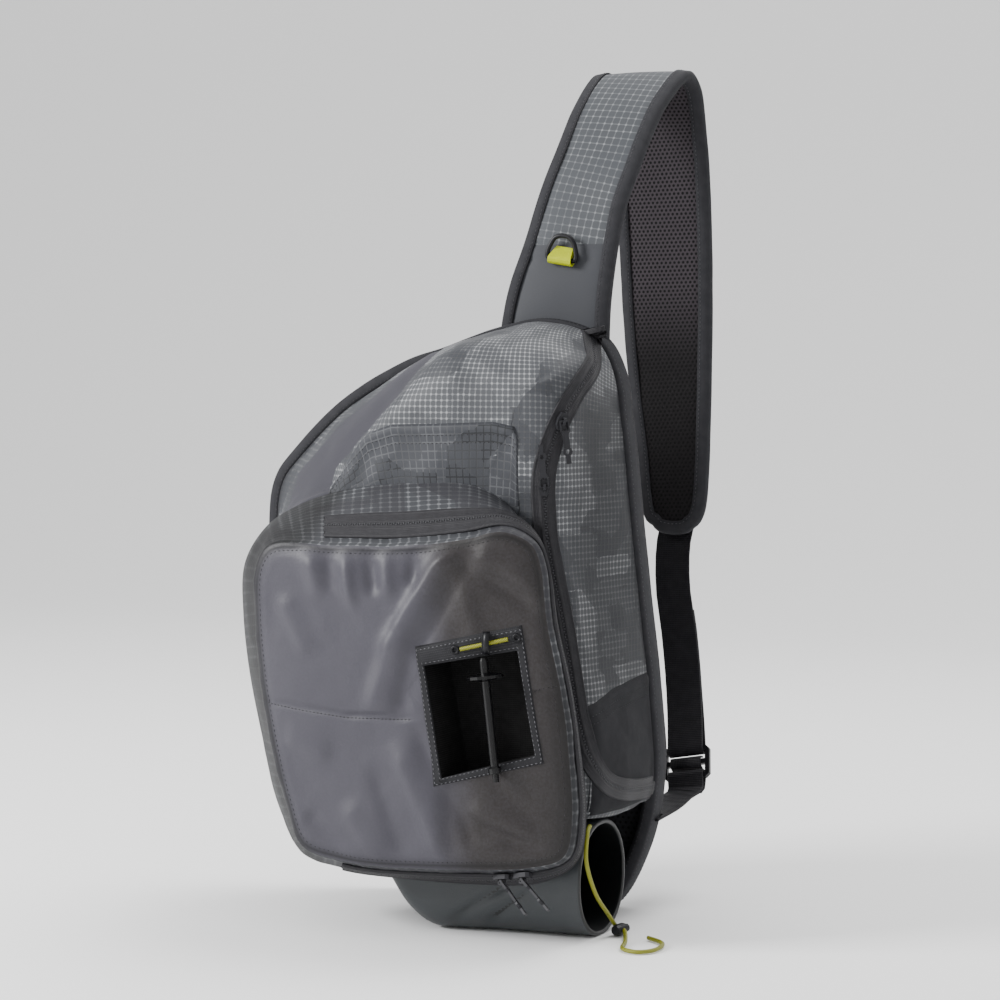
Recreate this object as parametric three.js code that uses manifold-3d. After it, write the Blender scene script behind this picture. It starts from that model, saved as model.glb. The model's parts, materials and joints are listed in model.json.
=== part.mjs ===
import * as THREE from "three";
import Module from "manifold-3d";

// Driving sizes in millimetres: +X to the viewer's right, +Y towards the wearer's back, +Z up
const BODY_HEIGHT = 436;
const BODY_WIDTH = 326;
const BODY_DEPTH = 110;
const FRONT_FACE_Y = -30;
const POCKET_DEPTH = 60;
const PANEL_THICKNESS = 13;
const FABRIC_WALL = 2;
const TAPE_THICKNESS = 1.2;
const SEAM_GAP = 0.35;
const BINDING_WIDTH = 20;
const BINDING_THICKNESS = 2.6;
const ZIP_WIDTH = 16;
const SLEEVE_HEIGHT = 81;
const SLEEVE_WALL = 3;
const STRAP_RISE = 188;
const STRAP_REACH = 126;
const STRAP_WIDTH = 74;
const STRAP_THICKNESS = 9;
const STRAP_BINDING_WIDTH = 9;
const EDGE_THICKNESS = 1.2;
const WEBBING_WIDTH = 28;
const WEBBING_THICKNESS = 1.8;
const BUCKLE_WIDTH = 37;
const BUCKLE_HEIGHT = 26;
const BUCKLE_THICKNESS = 4;
const RING_WIDTH = 27;
const RING_HEIGHT = 21;
const RING_BAR = 3.4;
const SLIDER_LENGTH = 12;
const SLIDER_WIDTH = 8;
const SLIDER_HEIGHT = 4.4;
const PULL_LENGTH = 30;
const PULL_WIDTH = 6.8;
const PULL_BAR = 1.8;
const TIPPET_CORD_DIAMETER = 3;
const POST_DIAMETER = 6;
const DISC_DIAMETER = 25;
const WELL_DEPTH = 34;
const RETENTION_CORD_DIAMETER = 3;
const CORD_LOCK_LENGTH = 15;

// Derived planes
const BACK_Y = FRONT_FACE_Y + BODY_DEPTH;
const PANEL_BACK_Y = BACK_Y + SEAM_GAP + PANEL_THICKNESS;
const POCKET_BACK_Y = FRONT_FACE_Y - SEAM_GAP - TAPE_THICKNESS - SEAM_GAP;

const wasm = await Module();
wasm.setup();

const vec = (x, y, z) => new THREE.Vector3(x, y, z);
const mix = (a, b, t) => a + (b - a) * t;

// Body outline, a row for each station, going left from the top as seen from the front.
// bx, bz: back edge. fx, fz: front edge. px, pz: padded panel. Shares of body width and height. r: edge radius.
const BODY_ROWS = [
  { bx: -0.025, bz: 0.9932, fx: 0.006, fz: 0.972, px: -0.025, pz: 0.9932, r: 46 },
  { bx: -0.151, bz: 0.9755, fx: -0.095, fz: 0.965, px: -0.151, pz: 0.9755, r: 44 },
  { bx: -0.279, bz: 0.9437, fx: -0.15, fz: 0.945, px: -0.279, pz: 0.9437, r: 34 },
  { bx: -0.383, bz: 0.9189, fx: -0.2, fz: 0.905, px: -0.383, pz: 0.9189, r: 22 },
  { bx: -0.538, bz: 0.8546, fx: -0.266, fz: 0.856, px: -0.538, pz: 0.8546, r: 14 },
  { bx: -0.671, bz: 0.7636, fx: -0.337, fz: 0.799, px: -0.671, pz: 0.7636, r: 12 },
  { bx: -0.719, bz: 0.7134, fx: -0.402, fz: 0.722, px: -0.719, pz: 0.7134, r: 12 },
  { bx: -0.733, bz: 0.6446, fx: -0.49, fz: 0.684, px: -0.733, pz: 0.6446, r: 12 },
  { bx: -0.727, bz: 0.5509, fx: -0.595, fz: 0.612, px: -0.727, pz: 0.5408, r: 14 },
  { bx: -0.691, bz: 0.432, fx: -0.61, fz: 0.49, px: -0.691, pz: 0.4169, r: 14 },
  { bx: -0.632, bz: 0.323, fx: -0.58, fz: 0.365, px: -0.624, pz: 0.291, r: 14 },
  { bx: -0.559, bz: 0.2303, fx: -0.52, fz: 0.25, px: -0.523, pz: 0.1637, r: 12 },
  { bx: -0.446, bz: 0.19, fx: -0.43, fz: 0.19, px: -0.414, pz: 0.052, r: 8 },
  { bx: -0.24, bz: 0.1885, fx: -0.24, fz: 0.1885, px: -0.29, pz: 0, r: 8 },
  { bx: 0, bz: 0.1885, fx: 0, fz: 0.1885, px: -0.05, pz: 0, r: 8 },
  { bx: 0.164, bz: 0.1885, fx: 0.165, fz: 0.1885, px: 0.12, pz: 0, r: 8 },
  { bx: 0.241, bz: 0.197, fx: 0.232, fz: 0.202, px: 0.214, pz: 0.11, r: 10 },
  { bx: 0.249, bz: 0.265, fx: 0.242, fz: 0.285, px: 0.249, pz: 0.2402, r: 14 },
  { bx: 0.236, bz: 0.3894, fx: 0.222, fz: 0.38, px: 0.236, pz: 0.3894, r: 16 },
  { bx: 0.218, bz: 0.5042, fx: 0.19, fz: 0.493, px: 0.218, pz: 0.5042, r: 16 },
  { bx: 0.2, bz: 0.6183, fx: 0.156, fz: 0.619, px: 0.2, pz: 0.6183, r: 16 },
  { bx: 0.187, bz: 0.7103, fx: 0.148, fz: 0.734, px: 0.187, pz: 0.7103, r: 18 },
  { bx: 0.171, bz: 0.819, fx: 0.165, fz: 0.84, px: 0.171, pz: 0.819, r: 26 },
  { bx: 0.149, bz: 0.9124, fx: 0.18, fz: 0.915, px: 0.149, pz: 0.9124, r: 38 },
  { bx: 0.095, bz: 0.9692, fx: 0.12, fz: 0.955, px: 0.095, pz: 0.9692, r: 46 },
];

// Work pocket outline, the same way round. d: depth of the front edge as a share of the pocket depth.
const POCKET_ROWS = [
  { bx: -0.215, bz: 0.729, fx: -0.132, fz: 0.638, d: 0.97, r: 7 },
  { bx: -0.368, bz: 0.713, fx: -0.291, fz: 0.636, d: 1, r: 7 },
  { bx: -0.482, bz: 0.686, fx: -0.38, fz: 0.638, d: 1, r: 7 },
  { bx: -0.565, bz: 0.648, fx: -0.455, fz: 0.63, d: 1, r: 7 },
  { bx: -0.62, bz: 0.585, fx: -0.493, fz: 0.59, d: 1, r: 7 },
  { bx: -0.624, bz: 0.5, fx: -0.497, fz: 0.52, d: 1, r: 7 },
  { bx: -0.608, bz: 0.4, fx: -0.483, fz: 0.415, d: 1, r: 7 },
  { bx: -0.575, bz: 0.29, fx: -0.455, fz: 0.3, d: 1, r: 7 },
  { bx: -0.539, bz: 0.187, fx: -0.42, fz: 0.205, d: 1, r: 7 },
  { bx: -0.474, bz: 0.107, fx: -0.378, fz: 0.138, d: 1, r: 7 },
  { bx: -0.36, bz: 0.085, fx: -0.28, fz: 0.117, d: 1, r: 7 },
  { bx: -0.18, bz: 0.08, fx: -0.17, fz: 0.113, d: 1, r: 7 },
  { bx: 0.01, bz: 0.073, fx: 0.03, fz: 0.12, d: 0.97, r: 7 },
  { bx: 0.13, bz: 0.083, fx: 0.16, fz: 0.128, d: 0.86, r: 7 },
  { bx: 0.2, bz: 0.135, fx: 0.235, fz: 0.15, d: 0.78, r: 7 },
  { bx: 0.213, bz: 0.22, fx: 0.253, fz: 0.215, d: 0.76, r: 7 },
  { bx: 0.195, bz: 0.3, fx: 0.246, fz: 0.3, d: 0.75, r: 7 },
  { bx: 0.17, bz: 0.4, fx: 0.228, fz: 0.4, d: 0.74, r: 7 },
  { bx: 0.135, bz: 0.51, fx: 0.194, fz: 0.51, d: 0.73, r: 7 },
  { bx: 0.11, bz: 0.6, fx: 0.18, fz: 0.6, d: 0.74, r: 7 },
  { bx: 0.075, bz: 0.66, fx: 0.155, fz: 0.645, d: 0.77, r: 7 },
  { bx: 0.02, bz: 0.705, fx: 0.09, fz: 0.664, d: 0.84, r: 7 },
  { bx: -0.07, bz: 0.73, fx: 0, fz: 0.65, d: 0.92, r: 7 },
];

// Base sleeve, a section for each row along X. y0, y1: front and back as shares of body depth.
// b0, b1: bottom height at the front and at the back, top: top height, as shares of the sleeve height.
const SLEEVE_ROWS = [
  { x: -0.47, y0: -0.26, y1: 0.7, b0: 0.95, b1: 0.8, top: 0.985, r: 3 },
  { x: -0.4, y0: -0.3, y1: 0.71, b0: 0.86, b1: 0.45, top: 1.0, r: 6 },
  { x: -0.32, y0: -0.38, y1: 0.715, b0: 0.72, b1: 0.12, top: 1.0, r: 12 },
  { x: -0.245, y0: -0.44, y1: 0.715, b0: 0.46, b1: 0.0, top: 1.0, r: 17 },
  { x: -0.19, y0: -0.46, y1: 0.715, b0: 0.17, b1: 0.0, top: 1.0, r: 20 },
  { x: -0.145, y0: -0.46, y1: 0.7, b0: 0.03, b1: 0.0, top: 1.0, r: 22 },
  { x: -0.09, y0: -0.46, y1: 0.66, b0: 0.0, b1: 0.0, top: 1.0, r: 25 },
  { x: 0.03, y0: -0.45, y1: 0.55, b0: 0.0, b1: 0.0, top: 1.0, r: 32 },
  { x: 0.13, y0: -0.45, y1: 0.42, b0: 0.0, b1: 0.0, top: 1.0, r: 37 },
  { x: 0.222, y0: -0.44, y1: 0.31, b0: 0.0, b1: 0.0, top: 1.0, r: 39.5 },
];

// Shoulder strap centre line. x: share of strap width from the body's axis. y: share of the reach behind
// the back panel. z: share of the rise above the body's height. w: share of the strap width.
const STRAP_ROWS = [
  { x: -0.06, y: 0.0, z: -0.1, w: 1.15 },
  { x: -0.02, y: 0.012, z: 0.06, w: 1.09 },
  { x: 0.09, y: 0.05, z: 0.28, w: 0.97 },
  { x: 0.16, y: 0.12, z: 0.46, w: 0.93 },
  { x: 0.26, y: 0.23, z: 0.64, w: 0.93 },
  { x: 0.33, y: 0.42, z: 0.83, w: 0.95 },
  { x: 0.4, y: 0.66, z: 0.965, w: 1.0 },
  { x: 0.42, y: 0.84, z: 0.93, w: 1.0 },
  { x: 0.41, y: 0.95, z: 0.77, w: 1.0 },
  { x: 0.43, y: 1.0, z: 0.5, w: 1.0 },
  { x: 0.45, y: 1.03, z: 0.12, w: 0.97 },
  { x: 0.48, y: 1.03, z: -0.19, w: 0.9 },
  { x: 0.54, y: 1.01, z: -0.54, w: 0.77 },
  { x: 0.57, y: 0.98, z: -0.74, w: 0.69 },
  { x: 0.58, y: 0.965, z: -0.82, w: 0.58 },
  { x: 0.58, y: 0.96, z: -0.85, w: 0.4 },
];

// Closed or open tables are read between their rows by a smooth curve through every column.
function catmull(a, b, c, d, t) {
  const t2 = t * t;
  const t3 = t2 * t;
  return 0.5 * (2 * b + (c - a) * t + (2 * a - 5 * b + 4 * c - d) * t2 + (3 * b - a - 3 * c + d) * t3);
}

function readTable(rows, at, closed) {
  const count = rows.length;
  const pick = (i) => (closed ? rows[((i % count) + count) % count] : rows[Math.min(Math.max(i, 0), count - 1)]);
  const i = Math.min(Math.floor(at), closed ? count - 1 : count - 2);
  const out = {};
  for (const key of Object.keys(rows[0])) {
    out[key] = catmull(pick(i - 1)[key], pick(i)[key], pick(i + 1)[key], pick(i + 2)[key], at - i);
  }
  return out;
}

function sampleClosed(rows, perRow) {
  return Array.from({ length: rows.length * perRow }, (_, k) => readTable(rows, k / perRow, true));
}

function sampleOpen(rows, steps) {
  return Array.from({ length: steps + 1 }, (_, k) => readTable(rows, (k / steps) * (rows.length - 1), false));
}

// Moves each point of a closed outline outwards by its own distance.
function offsetOutline(points, distances) {
  const count = points.length;
  return points.map((p, i) => {
    const before = points[(i + count - 1) % count];
    const after = points[(i + 1) % count];
    const a = new THREE.Vector2(p.y - before.y, before.x - p.x).normalize();
    const b = new THREE.Vector2(after.y - p.y, p.x - after.x).normalize();
    const n = a.clone().add(b).normalize();
    const stretch = Math.min(1 / Math.max(n.dot(a), 0.5), 1.6);
    return new THREE.Vector2(p.x + n.x * distances[i] * stretch, p.y + n.y * distances[i] * stretch);
  });
}

// Solids
function meshSolid(points, faces) {
  let volume = 0;
  for (const [a, b, c] of faces) {
    volume += points[a].dot(points[b].clone().cross(points[c]));
  }
  const ordered = volume < 0 ? faces.map(([a, b, c]) => [a, c, b]) : faces;
  const mesh = new wasm.Mesh({
    numProp: 3,
    vertProperties: new Float32Array(points.flatMap((p) => [p.x, p.y, p.z])),
    triVerts: new Uint32Array(ordered.flat()),
  });
  return new wasm.Manifold(mesh);
}

function loftSolid(rings, startPoint, endPoint) {
  const count = rings[0].length;
  const points = rings.flat();
  const faces = [];
  for (let k = 0; k < rings.length - 1; k += 1) {
    for (let i = 0; i < count; i += 1) {
      const a = k * count + i;
      const b = k * count + ((i + 1) % count);
      faces.push([a, b, b + count], [a, b + count, a + count]);
    }
  }
  const addCap = (ringIndex, middle, flip) => {
    const base = ringIndex * count;
    if (middle) {
      const m = points.length;
      points.push(middle);
      for (let i = 0; i < count; i += 1) {
        const a = base + i;
        const b = base + ((i + 1) % count);
        faces.push(flip ? [m, a, b] : [m, b, a]);
      }
      return;
    }
    const ring = rings[ringIndex];
    const normal = vec(0, 0, 0);
    ring.forEach((p, i) => normal.add(p.clone().cross(ring[(i + 1) % count])));
    normal.normalize();
    const e1 = ring[1].clone().sub(ring[0]).projectOnPlane(normal).normalize();
    const e2 = normal.clone().cross(e1);
    const flat = ring.map((p) => new THREE.Vector2(p.dot(e1), p.dot(e2)));
    for (const [a, b, c] of THREE.ShapeUtils.triangulateShape(flat, [])) {
      faces.push(flip ? [base + a, base + b, base + c] : [base + a, base + c, base + b]);
    }
  };
  addCap(0, startPoint, false);
  addCap(rings.length - 1, endPoint, true);
  return meshSolid(points, faces);
}

function centreOf(ring) {
  return ring.reduce((sum, p) => sum.add(p), vec(0, 0, 0)).multiplyScalar(1 / ring.length);
}

// The largest body of a solid that a cut has left in several
function largest(solid) {
  return solid.decompose().sort((a, b) => b.volume() - a.volume())[0];
}

// A prism along an axis: points are pairs in the plane of the two other axes, in X, Y, Z order.
function prism(axis, pairs, from, to) {
  const place = {
    x: (u, v, w) => vec(w, u, v),
    y: (u, v, w) => vec(u, w, v),
    z: (u, v, w) => vec(u, v, w),
  }[axis];
  return loftSolid([pairs.map(([u, v]) => place(u, v, from)), pairs.map(([u, v]) => place(u, v, to))]);
}

function boxSolid(low, high) {
  return prism("z", [[low.x, low.y], [high.x, low.y], [high.x, high.y], [low.x, high.y]], low.z, high.z);
}

// A soft form between its back and front outlines, grown by a distance. open: how far it runs out of the back.
function formSamples(form) {
  return sampleClosed(form.rows, form.perRow).map((s) => ({
    back: new THREE.Vector2(s.bx * BODY_WIDTH, s.bz * BODY_HEIGHT),
    front: new THREE.Vector2(s.fx * BODY_WIDTH, s.fz * BODY_HEIGHT),
    frontY: form.frontY(s),
    r: s.r,
  }));
}

function formRing(form, samples, share, grow) {
  const flat = samples.map((s) => s.back.clone().lerp(s.front, share));
  const edge = offsetOutline(flat, samples.map(() => grow));
  return edge.map((p, i) => vec(p.x, mix(form.backY - form.lip, samples[i].frontY + samples[i].r, share), p.y));
}

function formSolid(form, grow, open) {
  const samples = formSamples(form);
  const rings = [];
  const backEdge = offsetOutline(samples.map((s) => s.back), samples.map(() => grow));
  rings.push(backEdge.map((p) => vec(p.x, form.backY + open, p.y)));
  for (const share of form.lip > 0 ? [0, 1] : [0.5, 1]) {
    rings.push(formRing(form, samples, share, grow));
  }
  const frontFlat = samples.map((s) => s.front);
  const angles = [45, 90].map((a) => (a * Math.PI) / 180);
  for (const angle of angles) {
    const reach = samples.map((s) => (s.r + grow) * Math.cos(angle) - s.r);
    const edge = offsetOutline(frontFlat, reach);
    rings.push(edge.map((p, i) => vec(p.x, samples[i].frontY + samples[i].r - (samples[i].r + grow) * Math.sin(angle), p.y)));
  }
  const rim = rings[rings.length - 1];
  const middle = centreOf(rim);
  if (form.crown > 0) {
    rings.push(rim.map((p) => p.clone().lerp(middle, form.crown).add(vec(0, -0.8 * form.bulge, 0))));
  }
  const tip = middle.clone().add(vec(0, -form.bulge, 0));
  return loftSolid(rings, centreOf(rings[0]), tip);
}

function formShell(form, wall) {
  return formSolid(form, 0, 0).subtract(formSolid(form, -wall, 8));
}

function formSkin(form) {
  return formSolid(form, SEAM_GAP + TAPE_THICKNESS, 0).subtract(formSolid(form, SEAM_GAP, 0));
}

// A strip laid on the gusset of a form, from one station to another
function formStrip(form, fromRow, toRow, shareA, shareB) {
  const samples = formSamples(form);
  const low = [shareA, shareB].map((share) => formRing(form, samples, share, SEAM_GAP));
  const high = [shareA, shareB].map((share) => formRing(form, samples, share, SEAM_GAP + TAPE_THICKNESS));
  const rings = [];
  for (let k = fromRow * form.perRow; k <= toRow * form.perRow; k += 1) {
    const i = k % samples.length;
    rings.push([low[0][i], low[1][i], high[1][i], high[0][i]]);
  }
  return loftSolid(rings);
}

const body = {
  rows: BODY_ROWS,
  perRow: 2,
  backY: BACK_Y,
  lip: 0.1 * BODY_DEPTH,
  bulge: 2,
  crown: 0,
  frontY: () => FRONT_FACE_Y,
};
const pocket = {
  rows: POCKET_ROWS,
  perRow: 2,
  backY: POCKET_BACK_Y,
  lip: 0,
  bulge: 5,
  crown: 0.42,
  frontY: (s) => POCKET_BACK_Y - POCKET_DEPTH * s.d,
};

// Base sleeve
function sleeveRing(row, grow) {
  const y0 = row.y0 * BODY_DEPTH - grow;
  const y1 = Math.min(row.y1 * BODY_DEPTH, BACK_Y - 1) + grow;
  const low0 = row.b0 * SLEEVE_HEIGHT - grow;
  const low1 = row.b1 * SLEEVE_HEIGHT - grow;
  const top = row.top * SLEEVE_HEIGHT + grow;
  const room = Math.min(top - low0, top - low1, y1 - y0) / 2;
  const r = Math.min(Math.max(row.r + grow, 0.5), room * 0.97);
  const corners = [
    [y0, low0, Math.PI, 1.5 * Math.PI],
    [y1, low1, 1.5 * Math.PI, 2 * Math.PI],
    [y1, top, 0, 0.5 * Math.PI],
    [y0, top, 0.5 * Math.PI, Math.PI],
  ];
  return corners.flatMap(([cy, cz, from, to], k) => {
    const my = cy + (k === 1 || k === 2 ? -r : r);
    const mz = cz + (k < 2 ? r : -r);
    return [0, 0.25, 0.5, 0.75, 1].map((t) => {
      const a = mix(from, to, t);
      return vec(row.x * BODY_WIDTH, my + r * Math.cos(a), mz + r * Math.sin(a));
    });
  });
}

function sleeveSolid(grow) {
  const rings = SLEEVE_ROWS.map((row) => sleeveRing(row, grow));
  return loftSolid(rings, centreOf(rings[0]), centreOf(rings[rings.length - 1]));
}

function sleeveBore() {
  const rows = SLEEVE_ROWS.slice(2);
  const rings = rows.map((row) => sleeveRing(row, -SLEEVE_WALL));
  const mouth = rings[rings.length - 1].map((p) => p.clone().add(vec(10, 0, 0)));
  return loftSolid([...rings, mouth], centreOf(rings[0]), centreOf(mouth));
}

// Padded back panel and the bound edge
function panelOutline(grow) {
  const flat = sampleClosed(BODY_ROWS, 2).map((s) => new THREE.Vector2(s.px * BODY_WIDTH, s.pz * BODY_HEIGHT));
  return offsetOutline(flat, flat.map(() => grow)).map((p) => new THREE.Vector2(p.x, Math.max(p.y, 0)));
}

function panelSolid(grow, front, back) {
  const rings = [];
  const soft = 4;
  const at = (outline, y) => outline.map((p) => vec(p.x, y, p.y));
  rings.push(at(panelOutline(grow), front));
  rings.push(at(panelOutline(grow), back - soft));
  rings.push(at(panelOutline(grow - 1.4), back - 1.2));
  const last = at(panelOutline(grow - soft - 1), back);
  rings.push(last);
  return loftSolid(rings, centreOf(rings[0]), centreOf(last));
}

function edgeSlab(grow, from, to) {
  const outline = panelOutline(grow);
  const front = outline.map((p) => vec(p.x, from, p.y));
  const back = outline.map((p) => vec(p.x, to, p.y));
  return loftSolid([front, back], centreOf(front), centreOf(back));
}

function bindingSolid() {
  const from = BACK_Y - 0.45 * BINDING_WIDTH;
  const to = BACK_Y + 0.55 * BINDING_WIDTH;
  const below = vec(0, 0, -2 * SEAM_GAP);
  const inner = edgeSlab(SEAM_GAP, from - 1, to + 1);
  return edgeSlab(SEAM_GAP + BINDING_THICKNESS, from, to)
    .subtract(inner)
    .subtract(inner.translate(below.toArray()))
    .subtract(inner.translate([0, 0, -BODY_HEIGHT * 0.05]));
}

// Flat bands and tubes swept along a path. side gives the direction of the section's width.
function sweepBand(path, widthAt, thickness, side) {
  const rings = path.map((p, i) => {
    const tangent = path[Math.min(i + 1, path.length - 1)].clone().sub(path[Math.max(i - 1, 0)]).normalize();
    const across = (typeof side === "function" ? side(i) : side).clone().projectOnPlane(tangent).normalize();
    const normal = across.clone().cross(tangent).normalize();
    const w = widthAt(i) / 2;
    const t = thickness / 2;
    const e = Math.min(t, w) * 0.55;
    const shape = [
      [-w, -t + e], [-w + e, -t], [w - e, -t], [w, -t + e],
      [w, t - e], [w - e, t], [-w + e, t], [-w, t - e],
    ];
    return shape.map(([u, v]) => p.clone().addScaledVector(across, u).addScaledVector(normal, v));
  });
  return loftSolid(rings, centreOf(rings[0]), centreOf(rings[rings.length - 1]));
}

function tubeSolid(path, radius, sides, closed) {
  const curve = new THREE.CatmullRomCurve3(path, closed, "centripetal");
  const shape = new THREE.Shape();
  for (let k = 0; k < sides; k += 1) {
    const a = (k / sides) * 2 * Math.PI;
    if (k === 0) shape.moveTo(radius, 0);
    else shape.lineTo(radius * Math.cos(a), radius * Math.sin(a));
  }
  const steps = Math.min(80, path.length * 2 + 4);
  const tube = new THREE.ExtrudeGeometry(shape, { steps, extrudePath: curve, bevelEnabled: false });
  return geometrySolid(tube);
}

function geometrySolid(geometry) {
  const flat = geometry.index ? geometry.toNonIndexed() : geometry;
  const position = flat.getAttribute("position");
  const keys = new Map();
  const points = [];
  const faces = [];
  const indexOf = (i) => {
    const p = vec(position.getX(i), position.getY(i), position.getZ(i));
    const key = [p.x, p.y, p.z].map((c) => Math.round(c * 1e4)).join(",");
    if (!keys.has(key)) {
      keys.set(key, points.length);
      points.push(p);
    }
    return keys.get(key);
  };
  for (let i = 0; i < position.count; i += 3) {
    const face = [indexOf(i), indexOf(i + 1), indexOf(i + 2)];
    if (new Set(face).size === 3) faces.push(face);
  }
  return meshSolid(points, faces);
}

function turned(profile, segments) {
  const lathe = new THREE.LatheGeometry(profile.map(([r, z]) => new THREE.Vector2(r, z)), segments);
  return geometrySolid(lathe.rotateX(Math.PI / 2));
}

// Puts a solid drawn at the origin at a place, with its local X, Y, Z along three given directions.
function placed(solid, at, xAxis, yAxis, zAxis) {
  const m = new THREE.Matrix4().makeBasis(xAxis, yAxis, zAxis).setPosition(at);
  return solid.transform(m.elements);
}

// Body, pocket, sleeve
const sleeveGrown = sleeveSolid(SEAM_GAP);
const pocketGrown = formSolid(pocket, SEAM_GAP, 0);
const farBack = boxSolid(
  vec(-BODY_WIDTH, BACK_Y - 0.45 * BINDING_WIDTH - SEAM_GAP, -10),
  vec(BODY_WIDTH, BACK_Y + 3 * BODY_DEPTH, 2 * BODY_HEIGHT),
);

const mainBody = formShell(body, FABRIC_WALL).subtract(sleeveGrown);
const baseSleeve = sleeveSolid(0).subtract(sleeveBore());

// Main zip: its centre line in the plane that faces right-front
const ZIP_ROWS = [
  { x: 0.115, y: 0.86, z: 0.968 },
  { x: 0.126, y: 0.74, z: 0.961 },
  { x: 0.147, y: 0.5, z: 0.924 },
  { x: 0.156, y: 0.23, z: 0.881 },
  { x: 0.144, y: 0.07, z: 0.826 },
  { x: 0.126, y: 0.0, z: 0.752 },
  { x: 0.126, y: 0.0, z: 0.683 },
  { x: 0.135, y: 0.0, z: 0.619 },
  { x: 0.172, y: 0.0, z: 0.482 },
  { x: 0.187, y: 0.0, z: 0.415 },
  { x: 0.202, y: 0.0, z: 0.351 },
  { x: 0.221, y: 0.045, z: 0.289 },
  { x: 0.227, y: 0.23, z: 0.247 },
  { x: 0.23, y: 0.55, z: 0.227 },
  { x: 0.245, y: 0.95, z: 0.217 },
];

function zipBand(width) {
  const line = sampleOpen(ZIP_ROWS, 28).map((s) => {
    const x = s.x * BODY_WIDTH;
    const y = FRONT_FACE_Y + s.y * BODY_DEPTH;
    return new THREE.Vector2((x + y) * Math.SQRT1_2, s.z * BODY_HEIGHT);
  });
  const sideOf = (i) => {
    const t = line[Math.min(i + 1, line.length - 1)].clone().sub(line[Math.max(i - 1, 0)]).normalize();
    return new THREE.Vector2(-t.y, t.x).multiplyScalar(width / 2);
  };
  const left = line.map((p, i) => p.clone().add(sideOf(i)));
  const right = line.map((p, i) => p.clone().sub(sideOf(i)));
  const edge = [...left, ...right.reverse()];
  const toSpace = (p, depth) => vec((p.x + depth) * Math.SQRT1_2, (p.x - depth) * Math.SQRT1_2, p.y);
  const near = edge.map((p) => toSpace(p, 2 * BODY_WIDTH));
  const far = edge.map((p) => toSpace(p, 0.02 * BODY_WIDTH));
  return loftSolid([far, near]);
}

const bodySkin = formSkin(body).subtract(farBack);
const mainZipTape = bodySkin.intersect(zipBand(ZIP_WIDTH)).subtract(pocketGrown).subtract(sleeveGrown);
const zipClear = zipBand(ZIP_WIDTH + 2 * SEAM_GAP);

const frontShare = (pairs) => pairs.map(([u, v]) => [u * BODY_WIDTH, v * BODY_HEIGHT]);
const slashShape = frontShare([
  [-0.316, 0.807], [-0.248, 0.823], [-0.14, 0.825], [0.035, 0.83], [0.055, 0.812],
  [0.06, 0.66], [-0.2, 0.66], [-0.42, 0.68], [-0.398, 0.722], [-0.386, 0.748],
]);
const slashPocket = bodySkin
  .intersect(prism("y", slashShape, FRONT_FACE_Y - 20, FRONT_FACE_Y + 12))
  .subtract(pocketGrown)
  .subtract(zipClear)
  .subtract(formSolid(body, 0.1, 0));

const flyShape = [
  [0.02, 0.374], [0.36, 0.395], [0.7, 0.405], [1.1, 0.41], [1.1, 0.15], [-0.3, 0.15], [-0.3, 0.37],
].map(([u, v]) => [FRONT_FACE_Y + u * BODY_DEPTH, v * BODY_HEIGHT]);
const flyRegion = prism("x", flyShape, 0.1 * BODY_WIDTH, 0.5 * BODY_WIDTH);
const flyParts = bodySkin.intersect(flyRegion).subtract(zipClear).subtract(pocketGrown).subtract(sleeveGrown);
const flyPatch = largest(flyParts);

// Tippet window: a well let into the pocket's front, with a stitched frame
const WINDOW_ROWS = [
  { x: -0.098, z: 0.475, ix: -0.077, iz: 0.445 },
  { x: -0.052, z: 0.254, ix: -0.034, iz: 0.268 },
  { x: 0.187, z: 0.298, ix: 0.169, iz: 0.31 },
  { x: 0.135, z: 0.514, ix: 0.127, iz: 0.474 },
];
const windowPairs = (grow) => {
  const flat = WINDOW_ROWS.map((w) => new THREE.Vector2(w.ix * BODY_WIDTH, w.iz * BODY_HEIGHT));
  return offsetOutline(flat, flat.map(() => grow)).map((p) => [p.x, p.y]);
};
const framePairs = WINDOW_ROWS.map((w) => [w.x * BODY_WIDTH, w.z * BODY_HEIGHT]);
const wellBackY = POCKET_BACK_Y - 0.8 * POCKET_DEPTH + WELL_DEPTH - 2;
const wellOuter = prism("y", windowPairs(FABRIC_WALL), wellBackY, -4 * POCKET_DEPTH)
  .intersect(formSolid(pocket, -SEAM_GAP, 0));
const wellInner = prism("y", windowPairs(0), wellBackY - 1.5, -4 * POCKET_DEPTH);
const windowWell = wellOuter.subtract(wellInner);
const frontPocket = formShell(pocket, FABRIC_WALL)
  .subtract(prism("y", windowPairs(FABRIC_WALL + SEAM_GAP), wellBackY + SEAM_GAP, -4 * POCKET_DEPTH))
  .subtract(sleeveGrown);
const windowFrame = formSkin(pocket)
  .intersect(prism("y", framePairs, POCKET_BACK_Y - 0.5 * POCKET_DEPTH, -4 * POCKET_DEPTH))
  .subtract(prism("y", windowPairs(0), 0, -4 * POCKET_DEPTH));

const pocketZipTape = formStrip(pocket, 10, 24.5, 0.56, 0.94).subtract(sleeveGrown);

// Strap
const strapPoint = (s) => vec(
  s.x * STRAP_WIDTH,
  BACK_Y + 0.03 * BODY_DEPTH + s.y * STRAP_REACH,
  BODY_HEIGHT + s.z * STRAP_RISE,
);
const STRAP_STEPS = 21;
const STRAP_END_STEPS = 4;
const ANCHOR_STEPS = 6;
const strapSamples = sampleOpen(STRAP_ROWS, STRAP_STEPS);
const strapPath = strapSamples.map(strapPoint);
const strapWidthAt = (grow) => (i) => strapSamples[i].w * STRAP_WIDTH + 2 * grow;
const strapSide = vec(1, 0, 0);

function strapSolid(growWide, growThick, growEnd) {
  const path = strapPath.map((p) => p.clone());
  const end = path[path.length - 1];
  end.add(end.clone().sub(path[path.length - 2]).setLength(growEnd));
  return sweepBand(path, strapWidthAt(growWide), STRAP_THICKNESS + 2 * growThick, strapSide);
}

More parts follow.
